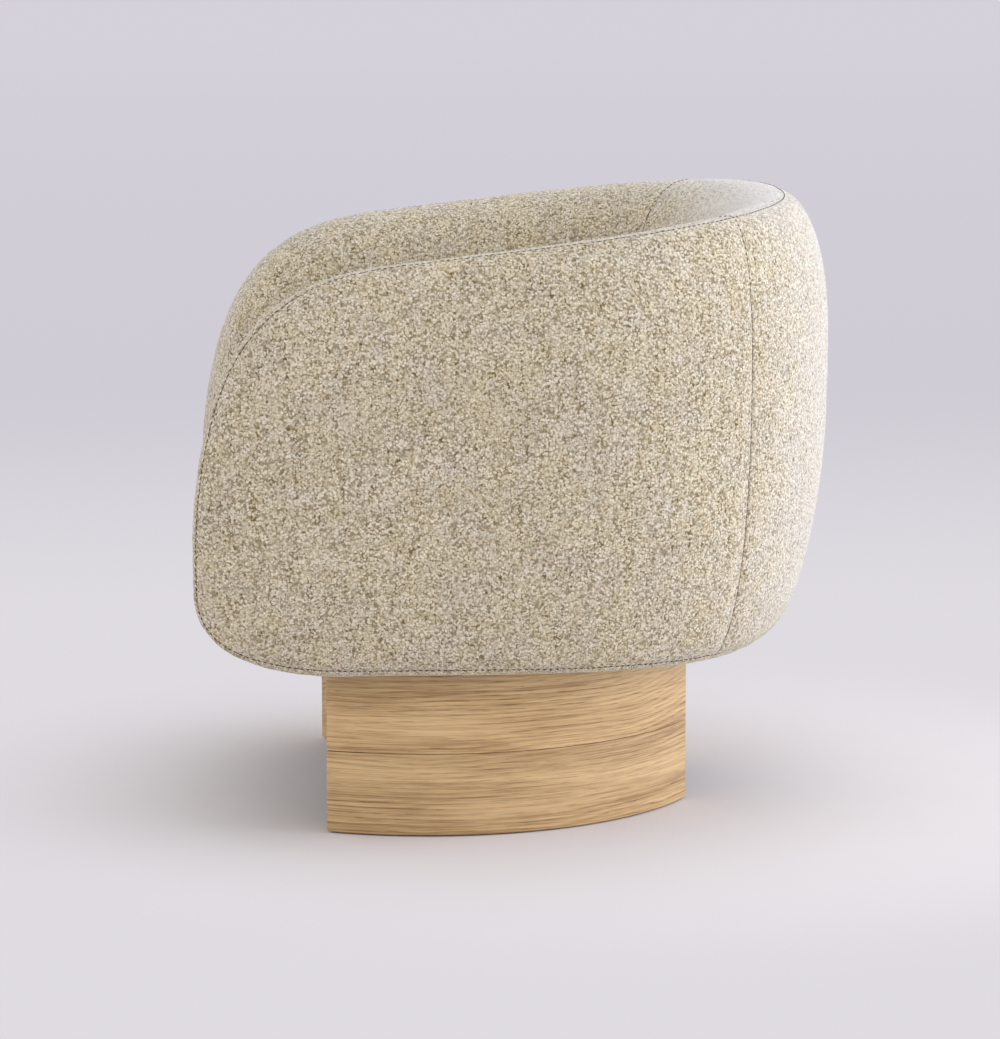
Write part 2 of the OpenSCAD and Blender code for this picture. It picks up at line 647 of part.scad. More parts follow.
module half_ring(r_in, r_out, low, high) {
    translate([0, wall_y, low]) rotate_extrude(angle = 180, $fn = 180)
        translate([r_in, 0]) square([r_out - r_in, high - low]);
}
module back_rail() {
    color(beech) difference() {
        half_ring(rail_in, wall_in, rail_low_z, rail_top_z);
        for (p = rail_screw_spots) translate([p[0], p[1], base_panel_z]) screw_hole();
        wall_screw_places() screw_hole();
    }
}
module corner_blocks() {
    leg = 50;
    color(beech) for (side = [-1, 1]) left_or_right(side)
        translate([0, 0, front_rail_low_z]) linear_extrude(rail_top_z - front_rail_low_z - 2)
        polygon([[rail_in, rail_back_y], [rail_in, rail_back_y + leg], [rail_in - leg, rail_back_y]]);
}
module rail_screws() {
    color(steel) for (p = rail_screw_spots) translate([p[0], p[1], base_panel_z]) screw();
}
module wall_screws() {
    color(steel) wall_screw_places() screw();
}
module arm_panel(side) {
    tip = front_y + wall_inset;
    ys = [for (t = [0:16]) mix(tip, wall_y, pow(t / 16, 2))];
    top = [for (y = ys) [y, rim_z(y, wall_inset)]];
    low = [for (k = [16:-1:1]) [ys[k], max(wall_low_z, hem_z(ys[k], 0, wall_inset))]];
    color(ply) difference() {
        left_or_right(side) translate([wall_in, 0, 0]) rotate([90, 0, 90])
            linear_extrude(wall_t) polygon(concat(top, low));
        wall_screw_places() screw_hole();
    }
}
// Everything above a plane that lies below the rim line by the given drop
module above_rim_less(drop) {
    translate([0, wall_y, rim_line(wall_y) - drop]) rotate([rim_slope, 0, 0])
        translate([-2 * rim_half_w, -rim_half_w, 0]) cube([4 * rim_half_w, 3 * rim_half_w, 2 * rim_half_w]);
}
module back_shell() {
    color(ply) difference() {
        half_ring(wall_in, wall_out, wall_low_z, arm_h + rim_half_w);
        above_rim_less(wall_inset + top_rail_h);
        wall_screw_places() screw_hole();
    }
}
module back_top_rail() {
    color(beech) difference() {
        intersection() {
            half_ring(wall_in, wall_out, wall_low_z, arm_h + rim_half_w);
            above_rim_less(wall_inset + top_rail_h);
        }
        above_rim_less(wall_inset);
    }
}

// Webbing and seat deck

function strap_reach(y) = y < wall_y ? wall_in - strap_end
    : sqrt(pow(wall_in - strap_end, 2) - pow(y - wall_y, 2));
module webbing_crosswise() {
    color("#8a8f93") for (k = [0:cross_straps - 1]) {
        y = rail_back_y + strap_end + k * cross_pitch;
        reach = strap_reach(y + strap_w);
        translate([-reach, y, rail_top_z]) cube([2 * reach, strap_w, strap_t]);
    }
}
module webbing_lengthwise() {
    color("#a3a7a9") for (k = [0:long_straps - 1]) {
        x = (k - (long_straps - 1) / 2) * long_pitch;
        near = rail_front_y + strap_end / 3;
        far = wall_y + sqrt(pow(wall_in - strap_end, 2) - pow(abs(x) + strap_w / 2, 2));
        translate([x - strap_w / 2, near, rail_top_z + strap_t + strap_gap])
            cube([strap_w, far - near, strap_t]);
    }
}
// Outline of the seat between the arms and the back at height z, less a margin
function seat_half(z, margin, front, n) = concat(
    [[inner_half_w - margin, front], [inner_half_w - margin, corner_y]],
    [for (k = [1:n]) let(st = [1, 90 * k / n], p = wall_pt(st, z, 0) - margin
        * [outward(st)[0], outward(st)[1], 0]) [p[0], p[1]]]);
function seat_outline(z, margin, front, n) =
    let(half = seat_half(z, margin, front, n))
    concat(half, [for (k = [len(half) - 2:-1:0]) [-half[k][0], half[k][1]]]);
module deck_foam() {
    color(foam) translate([0, 0, foam_low]) linear_extrude(deck_foam_t)
        polygon(seat_outline(foam_low, 1, rail_front_y + 2, 12));
}
module deck_cover() {
    color(cloth_dark) translate([0, 0, deck_z - cover_t]) linear_extrude(cover_t)
        polygon(seat_outline(foam_low, 1, rail_back_y + seat_gap, 12));
}
// The band below the cushion, seen from the side
function band_curve(inset) = concat(
    [[rail_back_y, deck_z - inset]],
    [for (k = [0:6]) [band_front_y + band_top_r - (band_top_r - inset) * sin(15 * k),
        deck_z - band_top_r + (band_top_r - inset) * cos(15 * k)]],
    [for (k = [0:10]) let(y = mix(band_front_y + inset, base_front_y - 0.5, pow(k / 10, 1.5)))
        [y, band_low(max(y, band_front_y)) + inset]]);
// The band's outline runs across the chair, with the front corners rounded in plan
module across_the_band(outline, inset) {
    w = band_half_w - inset;
    r = band_corner_r;
    f = band_front_y + inset;
    intersection() {
        translate([-w, 0, 0]) rotate([90, 0, 90]) linear_extrude(2 * w) polygon(outline);
        linear_extrude(2 * deck_z) union() {
            translate([-w, f + r]) square([2 * w, chair_depth / 2]);
            translate([r - w, f - 1]) square([2 * (w - r), r + 2]);
            for (s = [-1, 1]) translate([s * (w - r), f + r]) circle(r = r, $fn = 64);
        }
    }
}
module front_band_cover() {
    back = band_curve(cover_t);
    color(cloth) across_the_band(concat(band_curve(0),
        [for (k = [len(back) - 1:-1:0]) back[k]]), 0);
}
module front_band_foam() {
    curve = [for (p = band_curve(foam_inset)) if (p[0] < rail_front_y - seat_gap) p];
    last = curve[len(curve) - 1];
    color(foam) across_the_band(concat([[rail_front_y - seat_gap, deck_z - foam_inset]], curve,
        [[rail_front_y - seat_gap, last[1]]]), 2 * seat_gap);
}

// Seat cushion, boxed, with a crown and softly bulging sides

cushion_low = deck_z + seat_gap;
cushion_front_y = front_y + cushion_setback;
cushion_rows = 6;
// Outline at height z, starting and ending at the middle of the front
function cushion_half(z, inset) =
    let(w = inner_half_w - cushion_gap - inset, r = cushion_corner_r - inset,
        f = cushion_front_y + inset, bow = 8)
    concat(
        [for (k = [0:2]) let(x = (w - r) * k / 3) [x, f + bow * pow(x / (w - r), 2)]],
        [for (k = [0:4]) [w - r + r * sin(22.5 * k), f + bow + r - r * cos(22.5 * k)]],
        [for (k = [1:3]) [w, mix(f + bow + r, corner_y, k / 3)]],
        [for (k = [1:9]) let(st = [1, 10 * k], p = wall_pt(st, z, 0) - (cushion_gap + inset)
            * [outward(st)[0], outward(st)[1], 0]) [p[0], p[1]]]);
function cushion_outline(z, inset) =
    let(half = cushion_half(z, inset))
    concat(half, [for (k = [len(half) - 2:-1:1]) [-half[k][0], half[k][1]]]);
cushion_mid_y = (cushion_front_y + rim_back_y - back_t) / 2;
function shrunk(p, share, z) = [p[0] * share, cushion_mid_y + (p[1] - cushion_mid_y) * share, z];
function cushion_ring(z, inset, pull) = [for (p = cushion_outline(z, inset)) [p[0], p[1], z]
    - [p[0], p[1] - cushion_mid_y, 0] * pull];
// Rings from the middle of the bottom, up the boxed sides and over the crown
function cushion_rings(inset) =
    let(low = cushion_low + inset, high = cushion_low + cushion_edge_h - inset)
    concat(
        [for (s = [0.5, 0.96]) [for (p = cushion_outline(low, inset)) shrunk(p, s, low)]],
        [for (k = [0:cushion_rows])
            cushion_ring(mix(low + 5, high, k / cushion_rows), inset,
                0.014 * (1 - sin(180 * k / cushion_rows)))],
        [for (s = [0.97, 0.86, 0.66, 0.34])
            [for (p = cushion_outline(high, inset)) shrunk(p, s,
                high + cushion_crown * (1 - pow(s, 2.6)))]]);
module cushion_body(inset) {
    rings = cushion_rings(inset);
    n = len(rings);
    m = len(rings[0]);
    low = [0, cushion_mid_y, cushion_low + inset];
    high = [0, cushion_mid_y, cushion_low + cushion_edge_h - inset + cushion_crown];
    pts = concat([for (r = rings) each r], [low, high]);
    polyhedron(pts, concat(
        [for (i = [0:n - 2], j = [0:m - 1])
            let(a = i * m + j, b = i * m + (j + 1) % m)
            each [[a, b + m, b], [a, a + m, b + m]]],
        [for (j = [0:m - 1]) [n * m, j, (j + 1) % m]],
        [for (j = [0:m - 1]) [n * m + 1, (n - 1) * m + (j + 1) % m, (n - 1) * m + j]]));
}
module cushion_cover() {
    color(cloth) difference() {
        cushion_body(0);
        cushion_body(cover_t);
    }
}
module cushion_core() {
    color(foam) cushion_body(foam_inset);
}

base_board_lower(1);  // base_board_left_lower
base_board_upper(1);  // base_board_left_upper
base_board_lower(-1);  // base_board_right_lower
base_board_upper(-1);  // base_board_right_upper
board_dowels();
floor_glides();
base_bolts();
base_washers();
base_inserts();
base_panel();
side_rail(1);  // side_rail_left
side_rail(-1);  // side_rail_right
front_rail();
back_rail();
corner_blocks();
rail_screws();
arm_panel(1);  // arm_panel_left
arm_panel(-1);  // arm_panel_right
wall_screws();
back_shell();
back_top_rail();
webbing_crosswise();
webbing_lengthwise();
deck_foam();
deck_cover();
dust_cover();
front_band_foam();
front_band_cover();
under_border(1);  // under_border_left
under_border(-1);  // under_border_right
outer_foam(1);  // outer_foam_left
outer_foam(-1);  // outer_foam_right
outer_foam_back();
arm_foam(1);  // arm_foam_left
arm_foam(-1);  // arm_foam_right
back_foam();
edge_roll(1);  // edge_roll_left
edge_roll(-1);  // edge_roll_right
edge_roll_back();
outer_side_cover(1);  // outer_side_cover_left
outer_side_cover(-1);  // outer_side_cover_right
outer_back_cover();
inner_arm_cover(1);  // inner_arm_cover_left
inner_arm_cover(-1);  // inner_arm_cover_right
inner_back_cover();
cushion_core();
cushion_cover();
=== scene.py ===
"""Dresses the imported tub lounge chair: covers, seat cushion, oak boards, seams and a plain studio."""

import math

import bmesh
import bpy
import numpy as np
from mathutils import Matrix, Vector
from mathutils.bvhtree import BVHTree
from mathutils.kdtree import KDTree


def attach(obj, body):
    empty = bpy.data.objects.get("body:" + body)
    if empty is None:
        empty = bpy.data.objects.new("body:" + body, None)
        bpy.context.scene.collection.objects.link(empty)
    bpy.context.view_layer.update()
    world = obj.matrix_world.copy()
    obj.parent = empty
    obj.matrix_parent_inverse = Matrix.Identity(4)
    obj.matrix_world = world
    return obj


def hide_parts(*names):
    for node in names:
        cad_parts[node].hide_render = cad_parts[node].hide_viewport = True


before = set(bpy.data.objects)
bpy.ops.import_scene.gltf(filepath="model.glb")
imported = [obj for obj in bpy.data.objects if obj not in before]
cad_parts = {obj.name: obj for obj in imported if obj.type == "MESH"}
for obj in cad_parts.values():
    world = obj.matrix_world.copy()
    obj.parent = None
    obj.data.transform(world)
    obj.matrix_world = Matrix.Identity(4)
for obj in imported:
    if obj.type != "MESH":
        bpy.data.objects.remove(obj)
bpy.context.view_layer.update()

bl_info = {
    "name": "Tub lounge chair",
    "version": (1, 0, 0),
    "blender": (4, 5, 0),
    "location": "3D View > Sidebar > Lounge chair",
    "description": "Covers, cushion, oak boards and seams for a tub lounge chair on its packed frame",
    "category": "Object",
}

SEED = 11


# Properties: what a user would change

def metres(name, about, default):
    return bpy.props.FloatProperty(
        name=name, description=about, default=default, min=0, precision=4, unit="LENGTH", subtype="DISTANCE")


def turn(name, about, degrees):
    return bpy.props.FloatProperty(
        name=name, description=about, default=math.radians(degrees), min=0, unit="ROTATION", subtype="ANGLE")


def share(name, about, default, top=1.0):
    return bpy.props.FloatProperty(
        name=name, description=about, default=default, min=0, max=top, subtype="FACTOR")


def colour(name, about, rgb):
    return bpy.props.FloatVectorProperty(
        name=name, description=about, default=rgb, size=3, min=0, max=1, subtype="COLOR")


class TubSizes(bpy.types.PropertyGroup):
    """Sizes of the upholstered tub, the same as in its frame."""
    depth: metres("Depth", "Front of the arms to the bulge of the back", 0.766)
    rim_half_w: metres("Rim half width", "Half width of the tub at its sewn rim", 0.365)
    side_bulge: metres("Side bulge", "How far the sides bulge out past the rim", 0.036)
    back_bulge: metres("Back bulge", "How far the back bulges out past the rim", 0.060)
    rear_depth: metres("Rear depth", "Depth of the rounded rear part of the rim", 0.347)
    corner_n: share("Corner squareness", "Squareness of the rim's rear corners, 2 is an ellipse", 2.4, 4)
    arm_h: metres("Arm height", "Height of the rim where the arm starts to curve down", 0.687)
    rim_slope: turn("Rim slope", "Rise of the rim towards the back", 6.7)
    nose_z: metres("Nose height", "Height of the foremost point of the arm", 0.320)
    nose_top_len: metres("Upper nose length", "Length over which the top of the arm curves down", 0.249)
    nose_low_len: metres("Lower nose length", "Length over which the bottom of the arm curves up", 0.228)
    hem_side_z: metres("Side hem height", "Height of the bottom seam at the sides", 0.206)
    hem_back_z: metres("Back hem height", "Height of the bottom seam at the back", 0.204)
    tuck_side: metres("Side tuck", "How far the bottom seam is tucked under at the sides", 0.020)
    tuck_back: metres("Back tuck", "How far the bottom seam is tucked under at the back", 0.034)
    arm_t: metres("Arm thickness", "Thickness of the arm inward from its rim", 0.080)
    back_t: metres("Back thickness", "Thickness of the back inward from its rim", 0.095)
    arm_roll_h: metres("Arm roll", "Height of the rolled top of the arm", 0.080)
    back_roll_h: metres("Back roll", "Height of the rolled top of the back", 0.110)
    back_lean: share("Back lean", "Slope of the inner back", 0.16)
    seam_angle: turn("Seam angle", "Place of the seam between side and back covers round the rear", 46)
    seam_bow: turn("Seam bow", "How far that seam bows towards the arm below the rim", 2.7)
    seam_in: metres("Seam inset", "How far inside the edge the side panel is sewn on", 0.0023)
    crest_in: metres("Crest seam inset", "How far below the arm's crest the side panel is sewn on", 0.0008)
    hem_in: metres("Hem seam inset", "How far above the bottom edge the side panel is sewn on", 0.0065)
    fullness: metres("Fullness", "How far the lower front corner of the arms is filled out", 0.005)
    deck_z: metres("Deck height", "Height of the seat deck under the cushion", 0.300)


class CoverFinish(bpy.types.PropertyGroup):
    """The boucle cover and how it is sewn."""
    cream: colour("Cream loops", "Colour of most loops", (0.575, 0.49, 0.348))
    pale: colour("Pale loops", "Colour of the brightest loops", (0.80, 0.745, 0.635))
    # The yarn's darkest flecks; the same colour is also painted as shade into the gaps between the loops.
    fleck_and_gap_shade: colour("Flecks", "Colour of the darkest flecks", (0.150, 0.108, 0.036))
    # Painted sheen: the pale colour mixed into the cover where it is seen edge-on.
    painted_sheen: colour("Painted sheen", "Colour of the fine fuzz that shows at the edges", (0.90, 0.88, 0.91))
    loop: metres("Loop size", "Size of one loop of the boucle", 0.0027)
    puff: metres("Puff", "How far the covers stand out between their seams", 0.0012)
    groove: metres("Seam depth", "How deep the covers dive into a seam", 0.0021)
    lump: metres("Unevenness", "Height of the soft unevenness of foam and cover", 0.0009)
    stitch: metres("Stitch length", "Length of a stitch in a seam", 0.0042)
    stitch_gap: metres("Stitch gap", "Gap between two stitches", 0.0030)


class OakFinish(bpy.types.PropertyGroup):
    """The curved oak boards."""
    board_t: metres("Board thickness", "Thickness of the curved boards", 0.038)
    board_r: metres("Board radius", "Outer radius of the curved boards", 0.343)
    shift: metres("Centre shift", "How far a board's centre lies past the middle of the chair", 0.044)
    round_r: metres("Edge rounding", "Rounding of the boards' upright and foot edges", 0.0026)
    light: colour("Light wood", "Colour of the wood between its rings", (0.735, 0.510, 0.258))
    dark: colour("Dark wood", "Colour of the late wood in its rings", (0.33, 0.187, 0.076))
    # Painted shade: the lower boards' wood is made darker than the upper boards', to keep them no brighter than those
    # under the lamps.
    lower_painted_shade: share("Lower boards' painted shade", "How light the lower boards are beside the upper ones", 0.90)


class StudioLook(bpy.types.PropertyGroup):
    """Floor, background and lamps."""
    floor: colour("Floor", "Colour of the floor round the chair", (0.728, 0.690, 0.694))
    far: colour("Background", "Colour of the floor's far part and of the background", (0.665, 0.64, 0.705))
    horizon: colour("Bright band", "Colour of the floor just behind the chair", (0.735, 0.71, 0.755))
    fill: bpy.props.FloatProperty(name="Fill", description="Strength of the even light from all round",
                                  default=0.91, min=0)
    key: bpy.props.FloatProperty(name="Key", description="Power of the soft lamp behind the chair",
                                 default=90, min=0, unit="POWER")


# Measures of the tub that its frame keeps to itself

NOSE_TOP_N, NOSE_LOW_N = 3.0, 2.8
OUTER_TOP_N, OUTER_LOW_N = 2.05, 2.3
WIDEST = 0.686
SIDE_NOSE, INNER_NOSE = 0.133, 0.050
LEG_ROLL = 0.035
LEG_BACK = -0.3284
FOAM_LOW = 0.2854
BAND_HALF_W, BAND_FRONT, BAND_TOP_R, BAND_CORNER_R = 0.2844, -0.359, 0.020, 0.018
RAIL_BACK, BASE_FRONT = -0.299, -0.264
PANEL_Z, PANEL_HALF_W, PANEL_CORNER_R, PANEL_ROUND_Y = 0.2028, 0.325, 0.070, -0.048
BORDER_GAP = 0.0012
BOARD_Y = -0.09902
BOARD_DEGS = (-23.593, 63.4)


def mix(a, b, t):
    return a + (b - a) * t


def quarter(t, n):
    """Quarter of a superellipse: 1 at t = 0, falling to 0 at t = 1."""
    return np.maximum(0, 1 - np.clip(t, 0, 1) ** n) ** (1 / n)


class Tub:
    """The tub's surfaces, for arrays of places round the rim.

    A place u is metres ahead of the rear corner along the left arm below 0, and radians round the
    rear above 0, so that pi / 2 is the middle of the back.
    """

    def __init__(self, s):
        self.s = s
        self.front = -s.depth / 2
        self.corner = s.depth / 2 - s.back_bulge - s.rear_depth
        self.top_y = self.front + s.nose_top_len
        self.low_y = self.front + s.nose_low_len

    def place(self, u):
        s, e = self.s, 2 / self.s.corner_n
        u = np.asarray(u, float)
        c, si = np.cos(np.clip(u, 0, np.pi)), np.sin(np.clip(u, 0, np.pi)).clip(0)
        arm = u < 0
        x = np.where(arm, s.rim_half_w, s.rim_half_w * np.sign(c) * np.abs(c) ** e)
        y = np.where(arm, self.corner + u, self.corner + s.rear_depth * si ** e)
        nx = np.where(arm, 1, np.sign(c) * np.abs(c) ** (2 - e) / s.rim_half_w)
        ny = np.where(arm, 0, si ** (2 - e) / s.rear_depth)
        size = np.hypot(nx, ny)
        return np.stack([x, y], -1), np.stack([nx / size, ny / size], -1), np.where(arm, 0, si ** 2)

    def squeeze(self, u, inset):
        """The place on an outline drawn in by inset that answers to u on the rim."""
        return np.where(u < 0, u * (self.corner - self.front - inset) / (self.corner - self.front), u)

    def rim_line(self, y):
        return self.s.arm_h + (y - self.top_y) * math.tan(self.s.rim_slope)

    def rim_z(self, y, inset=0.0):
        s = self.s
        return s.nose_z + (self.rim_line(y) - inset - s.nose_z) * quarter(
            (self.top_y - y) / (s.nose_top_len - inset), NOSE_TOP_N)

    def hem_z(self, y, back, inset=0.0):
        s = self.s
        drop = s.nose_z - s.hem_side_z - (s.hem_back_z - s.hem_side_z) * back - inset
        return s.nose_z - drop * quarter((self.low_y - y) / (s.nose_low_len - inset), NOSE_LOW_N)

    def swell(self, y, length):
        return quarter(np.clip(1 - (y - self.front) / length, 0, 1), 2)

    @staticmethod
    def off(plan, out_dir, d, z):
        p = plan + out_dir * np.asarray(d)[..., None]
        return np.concatenate([p, np.broadcast_to(z, p.shape[:-1])[..., None]], -1)

    def outer(self, u, v):
        """The outer surface: v runs from -1 at the bottom seam to 1 at the rim."""
        s = self.s
        plan, out_dir, back = self.place(u)
        y = plan[..., 1]
        top, low = self.rim_z(y), self.hem_z(y, back)
        wide = mix(low, top, WIDEST)
        n = np.where(v >= 0, OUTER_TOP_N, OUTER_LOW_N)
        angle = np.abs(v) * np.pi / 2
        up, out = np.sin(angle) ** (2 / n), np.cos(angle).clip(0) ** (2 / n)
        bulge = mix(s.side_bulge, s.back_bulge, back) * self.swell(y, SIDE_NOSE)
        tuck = mix(s.tuck_side, s.tuck_back, back) * self.swell(y, SIDE_NOSE)
        d = np.where(v >= 0, bulge * out, mix(-tuck, bulge, out))
        return self.off(plan, out_dir, d, np.where(v >= 0, mix(wide, top, up), mix(wide, low, up)))

    def v_at(self, u, z):
        """v of the outer surface at height z."""
        plan, _, back = self.place(u)
        y = plan[..., 1]
        top, low = self.rim_z(y), self.hem_z(y, back)
        wide = mix(low, top, WIDEST)
        above = z >= wide
        up = np.where(above, (z - wide) / (top - wide), (wide - z) / (wide - low)).clip(0, 1)
        v = np.arcsin(up ** (np.where(above, OUTER_TOP_N, OUTER_LOW_N) / 2)) * 2 / np.pi
        return np.where(above, v, -v)

    def edge_v(self, u, inset, at_rim):
        """v of the line inset inside the rim or inside the bottom edge, seen from the side."""
        plan, _, back = self.place(u)
        y = plan[..., 1]
        return self.v_at(u, self.rim_z(y, inset) if at_rim else self.hem_z(y, back, inset))

    def seam_u(self, v):
        """The bowed seam between side and back covers."""
        return self.s.seam_angle - self.s.seam_bow * np.where(v > 0, 1 - v * v, 1 - 0.4 * v * v)

    def across_back(self, v, shares):
        """Places across the back, from one bowed seam to the other."""
        return mix(self.seam_u(v), np.pi - self.seam_u(v), shares)

    def depth(self, u):
        plan, _, back = self.place(u)
        return mix(self.s.arm_t, self.s.back_t, back) * self.swell(plan[..., 1], INNER_NOSE)

    def roll_h(self, u):
        plan, _, back = self.place(u)
        y = plan[..., 1]
        return np.minimum(mix(self.s.arm_roll_h, self.s.back_roll_h, back), (self.rim_z(y) - self.hem_z(y, back)) / 2)

    def inner(self, u, t, low):
        """The inner surface: over the roll for t to 1, down the wall to 2, under the arm's front to 3."""
        s = self.s
        plan, out_dir, back = self.place(u)
        y = plan[..., 1]
        deep, high, top = self.depth(u), self.roll_h(u), self.rim_z(y)
        angle = np.clip(t, 0, 1) * np.pi / 2
        knee = top - high
        hem = self.hem_z(y, back)
        leg_h = np.minimum(LEG_ROLL, (top - hem) / 2)
        leg = low < FOAM_LOW
        bottom = np.where(leg, hem + leg_h, low)
        z = np.where(t <= 1, top - high * (1 - np.cos(angle)), mix(knee, bottom, np.clip(t - 1, 0, 1)))
        d = np.where(t <= 1, -deep * np.sin(angle), -deep - s.back_lean * back * np.maximum(0, knee - z))
        foot = np.clip(t - 2, 0, 1) * np.pi / 2
        tuck = s.tuck_side * self.swell(y, SIDE_NOSE)
        z = np.where(t > 2, hem + leg_h * (1 - np.sin(foot)), z)
        d = np.where(t > 2, mix(-tuck, -deep, np.cos(foot)), d)
        return self.off(plan, out_dir, d, z)

    def seat_wall(self, u, z, gap):
        """The foot of the inner wall at height z, less a gap."""
        plan, out_dir, back = self.place(u)
        knee = self.rim_z(plan[..., 1]) - self.roll_h(u)
        d = -self.depth(u) - self.s.back_lean * back * np.maximum(0, knee - z) - gap
        return plan + out_dir * d[..., None]

    def band_low(self, y):
        fall = self.hem_z(np.array(BASE_FRONT), 0) - PANEL_Z - 0.001
        return self.hem_z(y, 0) - fall * ((y - BAND_FRONT) / (BASE_FRONT - BAND_FRONT)) ** 2


# Grids of points, and meshes from them

WELD = 2e-6
CURVE_STEPS = 240


def spread(n, start=0.3, end=0.3, span=10):
    """n + 1 shares from 0 to 1 whose steps shrink towards the ends."""
    k = np.arange(n) + 0.5
    step = np.minimum(np.minimum(start + (1 - start) * k / span, end + (1 - end) * (n - k) / span), 1)
    return np.concatenate([[0], np.cumsum(step)]) / step.sum()


def run_along(line):
    """How far along a line each of its points lies."""
    return np.concatenate([[0], np.cumsum(np.linalg.norm(np.diff(line, axis=0), axis=1))])


def points_at(line, run, at):
    """Points of a line at the given distances along it."""
    return np.stack([np.interp(at, run, column) for column in line.T], 1)


def at_height(plan, z):
    return np.concatenate([plan, np.full((len(plan), 1), z)], 1)


def ease(t):
    """A soft rise from 0 to 1."""
    return t * t * (3 - 2 * t)


def evenly(curve, start, end, shares):
    """For each column of curve(t), the values of t at the given shares of its length."""
    t = start[:, None] + (end - start)[:, None] * np.linspace(0, 1, CURVE_STEPS)
    run = np.cumsum(np.linalg.norm(np.diff(curve(t), axis=1), axis=2), axis=1)
    run = np.concatenate([np.zeros((len(t), 1)), run], axis=1)
    return np.array([np.interp(r[-1] * shares, r, row) for r, row in zip(run, t)])


def smooth_noise(p, size, seed):
    """Even noise between -1 and 1 for an array of points, with lumps of the given size."""
    q = p / size + seed * 17.31
    cell = np.floor(q).astype(np.int64)
    f = ease(q - cell)
    total = np.zeros(len(p))
    for corner in range(8):
        pick = np.array([corner & 1, corner >> 1 & 1, corner >> 2])
        c = cell + pick
        h = (c[:, 0] * 73856093) ^ (c[:, 1] * 19349663) ^ (c[:, 2] * 83492791) ^ (seed * 2654435761)
        h = (h ^ (h >> 13)) * 1274126177
        value = ((h ^ (h >> 16)) & 0xFFFFFF) / 0x7FFFFF - 1
        total += value * np.prod(np.where(pick, f, 1 - f), axis=1)
    return total


def grid_faces(n, m):
    """Quads of an n by m grid whose second index runs fastest."""
    i, j = np.meshgrid(np.arange(n - 1), np.arange(m - 1), indexing="ij")
    a = (i * m + j).ravel()
    return np.stack([a, a + m, a + m + 1, a + 1], 1)


def vertex_normals(points, faces):
    """Normals of a mesh of quads and triangles, weighted by area."""
    a, b = points[faces[:, 2]] - points[faces[:, 0]], points[faces[:, 3]] - points[faces[:, 1]]
    normal = np.cross(a, b)
    total = np.zeros_like(points)
    for k in range(4):
        np.add.at(total, faces[:, k], normal)
    return total / np.linalg.norm(total, axis=1, keepdims=True).clip(1e-12)


def welded(points, faces):
    """Points that coincide made one, and each face's corners renamed to match."""
    _, first, where = np.unique(np.round(points / WELD).astype(np.int64), axis=0, return_index=True,
                                return_inverse=True)
    return points[first], where.reshape(-1)[faces]


def kd_tree(points):
    tree = KDTree(len(points))
    for i, p in enumerate(points):
        tree.insert(p, i)
    tree.balance()
    return tree


def new_object(name, mesh):
    piece = bpy.data.objects.new(name, mesh)
    bpy.context.scene.collection.objects.link(piece)
    return piece


def shade_smooth(mesh):
    mesh.polygons.foreach_set("use_smooth", [True] * len(mesh.polygons))


def smooth_object(name, mesh, material):
    shade_smooth(mesh)
    mesh.materials.append(material)
    return new_object(name, mesh)


def join_rings(bm, rings):
    """Rows of new points, one for each ring, with quads from each row to the next."""
    rows = [[bm.verts.new(p) for p in ring] for ring in rings]
    count = len(rows[0])
    for a, b in zip(rows, rows[1:]):
        for k in range(count):
            after = (k + 1) % count
            bm.faces.new([a[k], a[after], b[after], b[k]])
    return rows


def finish_mesh(bm, name, material, clean=1e-6):
    """A named object from a bmesh, without doubles, with its faces pointing outwards."""
    bmesh.ops.remove_doubles(bm, verts=bm.verts, dist=clean)
    bmesh.ops.dissolve_degenerate(bm, edges=bm.edges, dist=clean)
    bmesh.ops.recalc_face_normals(bm, faces=bm.faces)
    mesh = bpy.data.meshes.new(name)
    bm.to_mesh(mesh)
    bm.free()
    return smooth_object(name, mesh, material)


def shell(name, points, faces, normals, thick, material):
    """A closed cover: the faces, the same faces thick below them, and a wall along the open edges."""
    used, local = np.unique(faces, return_inverse=True)
    local = local.reshape(faces.shape)
    count = len(used)
    whole, made, open_edges = [], set(), {}
    for face in local.tolist():
        ring = [v for k, v in enumerate(face) if v != face[k - 1]]
        if len(ring) < 3 or len(set(ring)) < len(ring) or frozenset(ring) in made:
            continue
        made.add(frozenset(ring))
        whole += [ring, [v + count for v in reversed(ring)]]
        for a, b in zip(ring, ring[1:] + ring[:1]):
            if open_edges.pop((b, a), None) is None:
                open_edges[(a, b)] = True
    whole += [[b, a, a + count, b + count] for a, b in open_edges]
    mesh = bpy.data.meshes.new(name)
    mesh.from_pydata(np.concatenate([points[used], points[used] - normals[used] * thick]).tolist(), [], whole)
    return smooth_object(name, mesh, material)


# Shader building blocks

def new_group(name, inputs, outputs):
    """An empty shader node group with named inputs (name, kind, default) and outputs (name, kind)."""
    group = bpy.data.node_groups.new(name, "ShaderNodeTree")
    for label, kind, default in inputs:
        socket = group.interface.new_socket(label, in_out="INPUT", socket_type="NodeSocket" + kind)
        socket.default_value = default
    for label, kind in outputs:
        group.interface.new_socket(label, in_out="OUTPUT", socket_type="NodeSocket" + kind)
    return Nodes(group), group.nodes.new("NodeGroupInput").outputs, group.nodes.new("NodeGroupOutput").inputs


